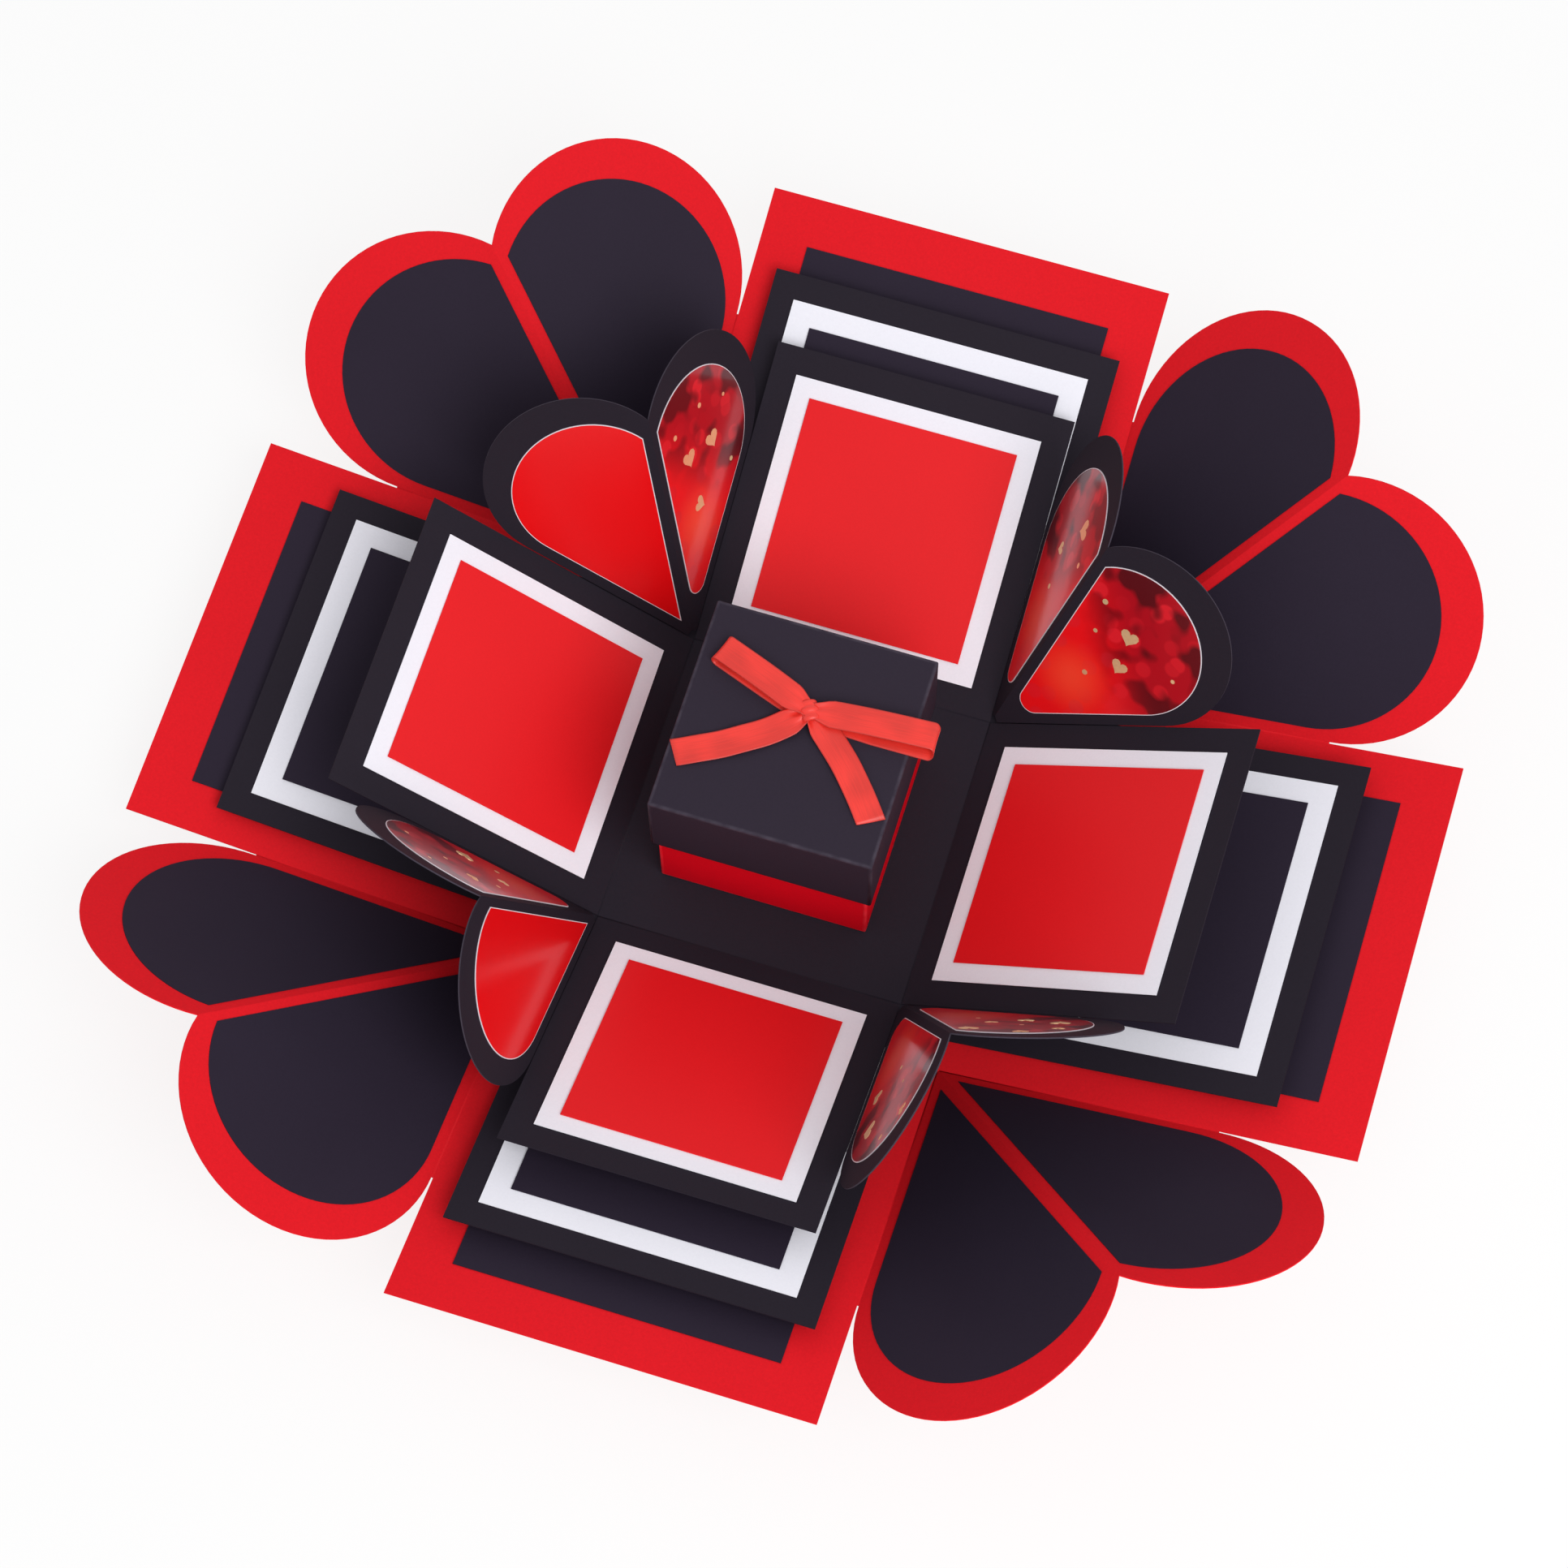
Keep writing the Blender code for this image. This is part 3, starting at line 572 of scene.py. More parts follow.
def add_sheet(shape, outline, low, high, warp, face_slot, edge_slot, panel_side):
    """Adds a sheet between two heights to a bmesh. warp places a point (x, y, z) of the flat sheet."""
    flat = gridded_face(outline)
    layer = shape.loops.layers.uv.get("panel") or shape.loops.layers.uv.new("panel")
    tops, bottoms = {}, {}
    for vert in flat.verts:
        tops[vert] = shape.verts.new(warp(vert.co.x, vert.co.y, high))
        bottoms[vert] = shape.verts.new(warp(vert.co.x, vert.co.y, low))

    def add_face(verts, flat_verts, slot, smooth):
        face = shape.faces.new(verts)
        face.material_index, face.smooth = slot, smooth
        for loop, source in zip(face.loops, flat_verts):
            loop[layer].uv = (source.co.x / panel_side, source.co.y / panel_side)
        return face

    for face in flat.faces:
        source = list(face.verts)
        add_face([tops[v] for v in source], source, face_slot, True)
        back = source[::-1]
        add_face([bottoms[v] for v in back], back, edge_slot if face_slot != edge_slot else face_slot, True)
    for edge in flat.edges:
        if edge.is_boundary:
            a, b = edge.verts
            side = add_face([tops[a], tops[b], bottoms[b], bottoms[a]], [a, b, b, a], edge_slot, False)
            for rim in side.edges:
                rim.smooth = False
    flat.free()


def heart_warp(place, sign, side, bow, miter):
    """Places a point of a flat half: bowed between its folds, and mitred where it meets the other half."""
    def warp(x, y, z):
        share = math.atan2(x, y) / math.radians(45)
        height = z + bow * 4 * share * (1 - share) * math.hypot(x, y) / side
        point = Vector((sign * x, y, height))
        if abs(x - y) < CELL / 1000:
            point += Vector((sign, -1.0, 0.0)) / math.sqrt(2) * z * miter
        return place @ point
    return warp


def add_strip(name, start, end, corner, along, length, thickness, material):
    """A scored fold: a strip of card that rounds the corner from start to end, along a fold of that length."""
    direction = along.normalized()
    steps, rows = 6, []
    shape = bmesh.new()
    for step in range(steps + 1):
        t = step / steps
        middle = (1 - t) ** 2 * start + 2 * t * (1 - t) * corner + t * t * end
        tangent = (2 * (1 - t) * (corner - start) + 2 * t * (end - corner)).normalized()
        normal = direction.cross(tangent)
        row = []
        for side in (1, -1):
            for place in (-0.5, 0.5):
                row.append(shape.verts.new(middle + normal * side * thickness / 2 + direction * place * length))
        rows.append(row)
    for a, b in zip(rows, rows[1:]):
        for quad in ((a[0], a[1], b[1], b[0]), (a[2], b[2], b[3], a[3]), (a[0], b[0], b[2], a[2]),
                     (a[1], a[3], b[3], b[1])):
            shape.faces.new(quad).smooth = True
    for row in (rows[0], rows[-1]):
        shape.faces.new((row[0], row[2], row[3], row[1]))
    for edge in shape.edges:
        if len(edge.link_faces) == 2 and edge.calc_face_angle(0.0) > 0.7:
            edge.smooth = False
    return finished_object(name, shape, [material])


# Operators

def settings():
    return bpy.context.scene.explosion_box


class EXPLOSIONBOX_OT_stage(bpy.types.Operator):
    """Add the floor, the soft light and the camera"""
    bl_idname = "explosion_box.stage"
    bl_label = "Stage"

    def execute(self, context):
        stage, scene = settings().stage, context.scene
        scene.view_settings.view_transform = "Standard"
        shape = bmesh.new()
        bmesh.ops.create_grid(shape, x_segments=2, y_segments=2, size=6.0,
                              matrix=Matrix.Translation((0.0, 0.0, -0.0002)))
        finished_object("floor", shape, [self.floor_material()])
        self.light_world(scene, stage.fill)
        lamp = bpy.data.lights.new("softbox", "AREA")
        lamp.shape, lamp.size, lamp.energy = "DISK", 1.3, stage.key_power
        key = bpy.data.objects.new("softbox", lamp)
        key.location = (0.85, -0.75, 1.45)
        key.rotation_euler = (Vector((0.0, 0.0, 0.0)) - key.location).to_track_quat("-Z", "Y").to_euler()
        scene.collection.objects.link(key)
        self.add_camera(scene, stage)
        return {"FINISHED"}

    def floor_material(self):
        # Matt white studio paper, which the camera sees almost evenly white, with the box's shadow left on it
        material, tree, shader = new_material("white_studio_paper")
        shader.inputs["Base Color"].default_value = tinted(linear("#f4f4f4"), 1.0)
        shader.inputs["Roughness"].default_value = 0.9
        path = add_node(tree, "ShaderNodeLightPath")
        seen = add_node(tree, "ShaderNodeMath", {0: path.outputs["Is Camera Ray"], 1: path.outputs["Is Glossy Ray"]},
                        operation="ADD")
        through = add_node(tree, "ShaderNodeMath", {0: seen.outputs["Value"],
                                                    1: path.outputs["Is Transmission Ray"]}, operation="ADD")
        share = add_node(tree, "ShaderNodeMath", {0: through.outputs["Value"], 1: 0.84}, operation="MULTIPLY",
                         use_clamp=True)
        white = add_node(tree, "ShaderNodeEmission", {"Color": (1.0, 1.0, 1.0, 1.0), "Strength": 1.0})
        mixed = add_node(tree, "ShaderNodeMixShader", {0: share.outputs["Value"], 1: shader.outputs["BSDF"],
                                                       2: white.outputs["Emission"]})
        tree.links.new(mixed.outputs["Shader"], tree.nodes["Material Output"].inputs["Surface"])
        return material

    def light_world(self, scene, fill):
        """An even light from all round, seen as white."""
        world = scene.world or bpy.data.worlds.new("studio")
        scene.world = world
        world.use_nodes = True
        tree = world.node_tree
        tree.nodes.clear()
        path = add_node(tree, "ShaderNodeLightPath")
        direct = add_node(tree, "ShaderNodeMath", {0: path.outputs["Is Camera Ray"],
                                                   1: path.outputs["Is Transmission Ray"]}, operation="ADD")
        seen = add_node(tree, "ShaderNodeMath", {0: direct.outputs["Value"], 1: path.outputs["Is Glossy Ray"]},
                        operation="ADD", use_clamp=True)
        strength = add_node(tree, "ShaderNodeMapRange", {"Value": seen.outputs["Value"], "To Min": fill,
                                                         "To Max": 1.0})
        light = add_node(tree, "ShaderNodeBackground", {"Color": (1.0, 1.0, 1.0, 1.0),
                                                        "Strength": strength.outputs["Result"]})
        out = add_node(tree, "ShaderNodeOutputWorld")
        tree.links.new(light.outputs["Background"], out.inputs["Surface"])

    def add_camera(self, scene, stage):
        azimuth, elevation, roll = stage.azimuth, stage.elevation, stage.roll
        forward = Vector((math.sin(azimuth) * math.cos(elevation), math.cos(azimuth) * math.cos(elevation),
                          -math.sin(elevation)))
        right = Vector((math.cos(azimuth), -math.sin(azimuth), 0.0))
        up = right.cross(forward)
        turned_right = math.cos(roll) * right + math.sin(roll) * up
        turned_up = -math.sin(roll) * right + math.cos(roll) * up
        lens = bpy.data.cameras.new("camera")
        lens.sensor_width, lens.lens = 36.0, stage.lens
        lens.clip_end = 20.0
        camera = bpy.data.objects.new("camera", lens)
        scene.collection.objects.link(camera)
        turn = Matrix((turned_right, turned_up, -forward)).transposed().to_4x4()
        camera.matrix_world = Matrix.Translation(Vector(stage.target) - forward * stage.distance) @ turn
        scene.camera = camera


class EXPLOSIONBOX_OT_card_layers(bpy.types.Operator):
    """Finish the bases, walls, mats and panels"""
    bl_idname = "explosion_box.card_layers"
    bl_label = "Card layers"

    def execute(self, context):
        card = settings().card
        red = dyed_card(card, "dyed_red_card", card.red)
        black = dyed_card(card, "dyed_black_card", card.black)
        dress(["outer_base"] + [f"outer_wall_{wall}" for wall in WALLS], red)
        for layer in ("middle", "inner"):
            dress([layer + "_base"] + [f"{layer}_wall_{wall}" for wall in WALLS], black)
        # Thin black cover paper, smoother and a little bluer than the card
        mat = make_card("black_cover_paper", card.black_mat, 0.58, 0.8 * MM, 0.06, 0.35, cloud_depth=0.05)
        dress([f"outer_mat_{wall}" for wall in WALLS] + [f"middle_panel_{wall}" for wall in WALLS], mat)
        # White wove paper with a cool tint, soft and matt
        white = make_card("white_wove_paper", card.white, 0.7, 0.8 * MM, 0.025, 0.4, cloud_depth=0.015)
        dress([f"{layer}_mat_{wall}" for layer in ("middle", "inner") for wall in WALLS], white)
        # Red paper coated on one side: smooth, with a low satin gloss over an even colour
        panel = make_card("coated_red_paper", card.panel_red, 0.5, 0.7 * MM, 0.03, 0.2, cloud_depth=0.025,
                          coat=0.25, coat_roughness=0.38)
        dress([f"inner_panel_{wall}" for wall in WALLS], panel)
        return {"FINISHED"}


class EXPLOSIONBOX_OT_folds(bpy.types.Operator):
    """Add the scored folds between the bases, the walls and the hearts"""
    bl_idname = "explosion_box.folds"
    bl_label = "Folds"

    def execute(self, context):
        box = settings()
        gap, thickness = box.card.fold_gap, box.card.thickness * SCORE_SHARE
        reach = gap + SCORE_LAP
        # Scored card: the same colour, a little darker and smoother along the fold
        scored = {"outer": make_card("scored_red_card", tinted(box.card.red, 0.93)[:3], 0.6, 0.6 * MM, 0.09, 0.6),
                  "black": make_card("scored_black_card", tinted(box.card.black, 0.9)[:3], 0.6, 0.6 * MM, 0.09, 0.6)}
        for layer in ("outer", "middle", "inner"):
            side = base_side(layer, gap)
            material = scored["outer" if layer == "outer" else "black"]
            for wall in WALLS:
                place = wall_place(layer, wall)
                foot, up = place.translation, place.col[1].to_3d()
                inward = Vector((-foot.x, -foot.y, 0.0)).normalized()
                strip = add_strip(f"{layer}_fold_{wall}", foot + inward * reach, foot + up * reach, foot,
                                  place.col[0].to_3d(), side - 2 * gap, thickness, material)
                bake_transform(strip)
                if layer != "middle":
                    for sign in (1, -1):
                        self.add_heart_fold(box, layer, wall, sign, side, material)
        self.add_corners(box, scored["outer"])
        return {"FINISHED"}

    def add_corners(self, box, material):
        """The crushed points of card at the outer corners, where the folds run into each other."""
        shape, side = bmesh.new(), base_side("outer", box.card.fold_gap)
        flat = Matrix.Diagonal((CORNER_REACH, CORNER_REACH, box.card.thickness / 2, 1.0))
        for wall in WALLS:
            corner = Matrix.Translation(heart_place("outer", wall, 1, side).translation)
            bmesh.ops.create_uvsphere(shape, u_segments=24, v_segments=10, radius=1.0, matrix=corner @ flat)
        for face in shape.faces:
            face.smooth = True
        corners = finished_object("outer_corner_points", shape, [material])
        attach(corners, "base")

    def add_heart_fold(self, box, layer, wall, sign, side, material):
        gap = box.card.fold_gap
        share, lap = HEART_SCORES[layer]
        thickness, reach = box.card.thickness * share, gap + lap
        foot, (arc_share, top_share) = heart_shape(box.hearts, layer)
        place, half = wall_place(layer, wall), heart_place(layer, wall, sign, side)
        top = side * top_share - (side * arc_share - gap / 2)
        middle = half @ Vector((0.0, (foot + top) / 2, 0.0))
        to_wall = -sign * place.col[0].to_3d()
        to_heart = sign * half.col[0].to_3d()
        node = heart_node(layer, wall, sign)
        name = node.replace("heart", "heart_fold")
        if layer == "outer":
            strip = add_strip(name, middle + to_wall * reach, middle + to_heart * reach, middle,
                              place.col[1].to_3d(), top - foot, thickness, material)
            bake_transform(strip)
            return
        # An inner half folds flat on its wall, so its fold is cut half through: a lip on the wall and one on the half
        for end, away, body in (("_wall_lip", to_wall, f"{layer}_{wall}"), ("_lip", to_heart, node)):
            near, far = middle + away * LIP_CLEARANCE, middle + away * reach
            lip = add_strip(name + end, far, near, (near + far) / 2, place.col[1].to_3d(), top - foot, thickness,
                            material)
            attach(lip, body)


class EXPLOSIONBOX_OT_hearts(bpy.types.Operator):
    """Build the halves of the outer and inner hearts, each a card and a glued mat"""
    bl_idname = "explosion_box.hearts"
    bl_label = "Hearts"

    def execute(self, context):
        box = settings()
        card, hearts = box.card, box.hearts
        red = dyed_card(card, "dyed_red_heart_card", card.red)
        black = dyed_card(card, "dyed_black_heart_card", card.black)
        red_edge = make_card("cut_edge_red_card", tinted(card.red, 1.05)[:3], 0.75, 0.4 * MM, 0.1, 0.3)
        # A black card's cut edge is greyer than its face, because the knife opens the fibres
        black_edge = make_card("cut_edge_black_card", linear("#433d48"), 0.8, 0.4 * MM, 0.25, 0.3)
        outer_mat = make_card("black_cover_paper_heart", card.black_mat, 0.56, 0.8 * MM, 0.06, 0.35, cloud_depth=0.09)
        # High-gloss coated paper, flat red, with a clear hard shine
        gloss = make_card("gloss_red_paper", hearts.gloss_red, 0.34, 0.7 * MM, 0.02, 0.08, cloud_depth=0.03,
                          coat=0.5, coat_roughness=0.16)
        printed = print_material(hearts)
        core = make_card("white_paper_core", linear("#e6dfe6"), 0.7, 0.5 * MM, 0.08, 0.3)
        for layer in ("outer", "inner"):
            side = base_side(layer, card.fold_gap)
            for wall in WALLS:
                for sign in (1, -1):
                    node = heart_node(layer, wall, sign)
                    warp = self.half_warp(layer, wall, sign, side, hearts)
                    faces = (red, red_edge) if layer == "outer" else (black, black_edge)
                    shape = heart_shape(hearts, layer)
                    self.add_card(node, warp, side, card, shape, faces)
                    if layer == "outer":
                        self.add_mat(node, warp, side, card, shape, hearts.outer_borders, (outer_mat, outer_mat),
                                     0.0, 0.0)
                    else:
                        plain = node.split("heart_")[1] in PLAIN_HALVES
                        self.add_mat(node, warp, side, card, shape, hearts.inner_borders,
                                     (gloss if plain else printed, core), hearts.white_margin,
                                     0.0 if plain else hearts.print_foot)
        return {"FINISHED"}

    def half_warp(self, layer, wall, sign, side, hearts):
        place = heart_place(layer, wall, sign, side)
        other = heart_place(layer, neighbour_of(wall, sign), -sign, side)
        normal, other_normal = place.col[2].to_3d(), other.col[2].to_3d()
        outwards = place.to_3x3() @ Vector((sign, -1.0, 0.0)) / math.sqrt(2)
        miter = (1 - normal.dot(other_normal)) / outwards.dot(other_normal)
        bow = hearts.outer_bow if layer == "outer" else hearts.inner_bow
        return heart_warp(place, sign, side, bow, miter)

    def add_card(self, node, warp, side, card, heart, faces):
        foot, shares = heart
        outline = heart_outline(side, shares, foot, (card.fold_gap, 0.0, 0.0, 0.0))
        shape = bmesh.new()
        add_sheet(shape, outline, -card.thickness / 2, card.thickness / 2, warp, 0, 0, side)
        for face in shape.faces:
            if not face.smooth:
                face.material_index = 1
        half = finished_object(node + "_card", shape, faces)
        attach(half, node)
        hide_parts(node)

    def add_mat(self, node, warp, side, card, heart, borders, papers, margin, foot_radius):
        foot, shares = heart
        low, high = card.thickness / 2 + 0.01 * MM, card.thickness / 2 + card.mat_thickness
        shape = bmesh.new()
        outline = heart_outline(side, shares, foot, borders, foot_radius)
        if margin:
            add_sheet(shape, outline, low, high - PRINT_LAYER, warp, 1, 1, side)
            inner = heart_outline(side, shares, foot, [border + margin for border in borders],
                                  max(foot_radius - margin, 0.0))
            add_sheet(shape, inner, high - PRINT_LAYER, high, warp, 0, 1, side)
        else:
            add_sheet(shape, outline, low, high, warp, 0, 1, side)
        mat = finished_object(node + "_mat", shape, papers)
        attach(mat, node)


class EXPLOSIONBOX_OT_foil(bpy.types.Operator):
    """Scatter foil hearts and dots over the printed halves"""
    bl_idname = "explosion_box.foil"
    bl_label = "Foil"

    def execute(self, context):
        box = settings()
        gold = foil_material(box.foil)
        tree = self.foil_tree(gold)
        heart, dot = self.motif("foil_heart", True), self.motif("foil_dot", False)
        side = base_side("inner", box.card.fold_gap)
        for wall in WALLS:
            for sign in (1, -1):
                node = heart_node("inner", wall, sign)
                if node.split("heart_")[1] not in PLAIN_HALVES:
                    self.scatter(box, tree, heart, dot, node, wall, sign, side, gold)
        for obj in (heart, dot):
            bpy.data.objects.remove(obj)
        return {"FINISHED"}

    def motif(self, name, heart):
        """A flat foil motif one unit wide, raised by a hundredth of that."""
        shape = bmesh.new()
        points = []
        for step in range(20):
            turn = 2 * math.pi * step / 20
            if heart:
                points.append((math.sin(turn) ** 3 / 2, (13 * math.cos(turn) - 5 * math.cos(2 * turn)
                                                         - 2 * math.cos(3 * turn) - math.cos(4 * turn)) / 32))
            else:
                points.append((math.cos(turn) / 2, math.sin(turn) / 2))
        face = shape.faces.new([shape.verts.new((x, y, 0.0)) for x, y in points])
        lifted = bmesh.ops.extrude_face_region(shape, geom=[face])
        bmesh.ops.translate(shape, verts=[v for v in lifted["geom"] if isinstance(v, bmesh.types.BMVert)],
                            vec=(0.0, 0.0, 0.012))
        return finished_object(name, shape, [])

    def foil_tree(self, gold):
        """Geometry nodes that put foil motifs on the points of a printed face."""
        tree = bpy.data.node_groups.new("foil_scatter", "GeometryNodeTree")
        for name, kind, value in (("Face", "NodeSocketGeometry", None), ("Heart", "NodeSocketObject", None),
                                  ("Dot", "NodeSocketObject", None), ("Width", "NodeSocketFloat", 0.004),
                                  ("Spacing", "NodeSocketFloat", 0.01), ("Density", "NodeSocketFloat", 9000.0),
                                  ("Seed", "NodeSocketInt", 1)):
            socket = tree.interface.new_socket(name, in_out="INPUT", socket_type=kind)
            if value is not None:
                socket.default_value = value
        tree.interface.new_socket("Foil", in_out="OUTPUT", socket_type="NodeSocketGeometry")
        given = add_node(tree, "NodeGroupInput").outputs
        points = add_node(tree, "GeometryNodeDistributePointsOnFaces",
                          {"Mesh": given["Face"], "Distance Min": given["Spacing"], "Density Max": given["Density"],
                           "Density Factor": 1.0, "Seed": given["Seed"]}, distribute_method="POISSON")
        spin = add_node(tree, "FunctionNodeRandomValue", {"Min": (0.0, 0.0, -0.5), "Max": (0.0, 0.0, 0.5),
                                                          "Seed": given["Seed"]}, data_type="FLOAT_VECTOR")
        turned = add_node(tree, "FunctionNodeRotateRotation", {"Rotation": points.outputs["Rotation"],
                                                               "Rotate By": spin.outputs[0]},
                          rotation_space="LOCAL")
        size = add_node(tree, "FunctionNodeRandomValue", {2: 0.75, 3: 1.25, "Seed": given["Seed"]},
                        data_type="FLOAT")
        scale = add_node(tree, "ShaderNodeMath", {0: size.outputs[1], 1: given["Width"]}, operation="MULTIPLY")
        small = add_node(tree, "ShaderNodeMath", {0: scale.outputs[0], 1: 0.3}, operation="MULTIPLY")
        pick = add_node(tree, "FunctionNodeRandomValue", {"Probability": 0.42, "Seed": given["Seed"]},
                        data_type="BOOLEAN")
        rest = add_node(tree, "FunctionNodeBooleanMath", {0: pick.outputs[3]}, operation="NOT")
        made = []
        for kind, chosen, width in (("Heart", pick.outputs[3], scale), ("Dot", rest.outputs[0], small)):
            shape = add_node(tree, "GeometryNodeObjectInfo", {"Object": given[kind]})
            made.append(add_node(tree, "GeometryNodeInstanceOnPoints", {
                "Points": points.outputs["Points"], "Selection": chosen, "Instance": shape.outputs["Geometry"],
                "Rotation": turned.outputs[0], "Scale": width.outputs[0]}))
        joined = add_node(tree, "GeometryNodeJoinGeometry")
        for node in made:
            tree.links.new(node.outputs["Instances"], joined.inputs[0])
        real = add_node(tree, "GeometryNodeRealizeInstances", {"Geometry": joined.outputs["Geometry"]})
        finish = add_node(tree, "GeometryNodeSetMaterial", {"Geometry": real.outputs["Geometry"], "Material": gold})
        out = add_node(tree, "NodeGroupOutput")
        tree.links.new(finish.outputs["Geometry"], out.inputs["Foil"])
        return tree

    def scatter(self, box, tree, heart, dot, node, wall, sign, side, gold):
        hearts, card, foil = box.hearts, box.card, box.foil
        bow = heart_warp(heart_place("inner", wall, sign, side), sign, side, hearts.inner_bow, 0.0)
        # Only the upper, darker field of the print carries foil, clear of its edge
        outline = heart_outline(side, hearts.inner_shares, hearts.inner_foot,
                                [border + FOIL_CLEARANCE for border in hearts.inner_borders])
        outline = [p for p in outline if p.y > side * 0.5] + [Vector((side * 0.38, side * 0.48)),
                                                              Vector((side * 0.12, side * 0.38))]
        shape = bmesh.new()
        height = card.thickness / 2 + card.mat_thickness + 0.01 * MM
        flat = gridded_face(outline)
        points = {v: shape.verts.new(bow(v.co.x, v.co.y, height)) for v in flat.verts}
        for face in flat.faces:
            verts = [points[v] for v in face.verts]
            shape.faces.new(verts if sign > 0 else verts[::-1])
        flat.free()
        mesh = bpy.data.meshes.new("foil_field")
        shape.normal_update()
        shape.to_mesh(mesh)
        shape.free()
        field = bpy.data.objects.new("foil_field", mesh)
        bpy.context.scene.collection.objects.link(field)
        front = heart_place("inner", wall, sign, side).col[2].to_3d()
        if mesh.polygons[0].normal.dot(front) < 0:
            mesh.flip_normals()
        modifier = field.modifiers.new("foil", "NODES")
        modifier.node_group = tree
        sockets = {item.name: item.identifier for item in tree.interface.items_tree if item.in_out == "INPUT"}
        for name, value in (("Heart", heart), ("Dot", dot), ("Width", foil.motif_size), ("Spacing", foil.spacing),
                            ("Density", foil.density), ("Seed", foil.seed + WALLS.index(wall) * 2 + (sign > 0))):
            modifier[sockets[name]] = value
        bpy.context.view_layer.update()
        evaluated = field.evaluated_get(bpy.context.evaluated_depsgraph_get())
        made = bpy.data.meshes.new_from_object(evaluated)
        bpy.data.objects.remove(field)
        if not made.polygons:
            raise RuntimeError(f"no foil landed on {node}")
        obj = bpy.data.objects.new(node + "_foil", made)
        bpy.context.scene.collection.objects.link(obj)
        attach(obj, node)


class EXPLOSIONBOX_OT_gift_box(bpy.types.Operator):
    """Build the wrapped tray and its telescoping lid"""
    bl_idname = "explosion_box.gift_box"
    bl_label = "Gift box"

    def execute(self, context):
        gift = settings().gift
        # The paler edge colours are partly rubbed wear and partly painted highlight on the rounded edges
        lid_paper = wrap_material("black_wrapping_paper", gift.lid_colour, linear("#4b4450"))
        tray_paper = wrap_material("red_wrapping_paper", gift.tray_colour, linear("#ea3a46"))
        self.add_shell(gift, "gift_box_lid", -1, lid_paper)
        self.add_shell(gift, "gift_box_body", 1, tray_paper)
        return {"FINISHED"}

    def add_shell(self, gift, node, open_end, paper):
        """An open square box with rounded edges, with paper turned in over its rim."""
        low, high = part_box(node)
        middle, size = (low + high) / 2, high - low
        shape = bmesh.new()
        bmesh.ops.create_cube(shape, size=1.0, matrix=Matrix.Translation(middle) @ Matrix.Diagonal((*size, 1.0)))
        bmesh.ops.delete(shape, geom=[f for f in shape.faces if f.normal.z * open_end > 0.5], context="FACES_ONLY")
        bmesh.ops.bevel(shape, geom=[e for e in shape.edges if not e.is_boundary], offset=gift.edge_round,
                        segments=4, profile=0.5, affect="EDGES", clamp_overlap=True)
        # Marks the rounded edges, which the paper paints paler: partly rubbed wear, partly painted highlight
        wear_and_highlight = shape.verts.layers.float.new("wear_and_highlight")
        faces = set(f for f in shape.faces if f.calc_area() > 100 * gift.edge_round ** 2)
        for vert in shape.verts:
            vert[wear_and_highlight] = 0.0 if all(f in faces for f in vert.link_faces) else 1.0
        wide = [f for f in faces]
        cuts = bmesh.ops.inset_individual(shape, faces=wide, thickness=gift.edge_round * 1.4)
        for face in wide:
            for vert in face.verts:
                vert[wear_and_highlight] = 0.0
        bmesh.ops.recalc_face_normals(shape, faces=shape.faces)
        for face in shape.faces:
            face.smooth = True
        del cuts
        obj = finished_object(node + "_wrapped", shape, [paper])
        solid = obj.modifiers.new("board", "SOLIDIFY")
        solid.thickness, solid.offset, solid.use_even_offset = gift.board, -1.0, True
        self.bake(obj)
        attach(obj, "gift_lid" if open_end < 0 else "base")
        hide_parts(node)
        self.add_turn_in(gift, node, low, high, open_end, paper)

    def bake(self, obj):
        """Applies the modifiers to the mesh."""
        bpy.context.view_layer.update()
        evaluated = obj.evaluated_get(bpy.context.evaluated_depsgraph_get())
        made = bpy.data.meshes.new_from_object(evaluated)
        obj.modifiers.clear()
        obj.data = made

    def add_turn_in(self, gift, node, low, high, open_end, paper):
        """The band of paper glued inside the rim, cut slanted at the corners."""
        rim = high.z if open_end > 0 else low.z
        inner = (high.x - low.x) / 2 - gift.board
        middle = (low + high) / 2
        shape = bmesh.new()
        for index in range(4):
            turn = Matrix.Translation((middle.x, middle.y, 0.0)) @ Matrix.Rotation(index * math.pi / 2, 4, "Z")
            slant = gift.turn_in * 0.8
            deep = rim - open_end * gift.turn_in
            outline = ((-inner + PAPER_WRAP, rim - open_end * PAPER_WRAP), (inner - PAPER_WRAP,
                                                                           rim - open_end * PAPER_WRAP),
                       (inner - slant, deep), (-inner + slant, deep))
            rings = []
            for depth in (inner - 0.02 * MM, inner - PAPER_WRAP):
                rings.append([shape.verts.new(turn @ Vector((x, depth, z))) for x, z in outline])
            shape.faces.new(rings[0])
            shape.faces.new(rings[1][::-1])
            for a in range(4):
                b = (a + 1) % 4
                shape.faces.new((rings[0][a], rings[0][b], rings[1][b], rings[1][a]))
        band = finished_object(node + "_turn_in", shape, [paper])
        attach(band, "gift_lid" if open_end < 0 else "base")


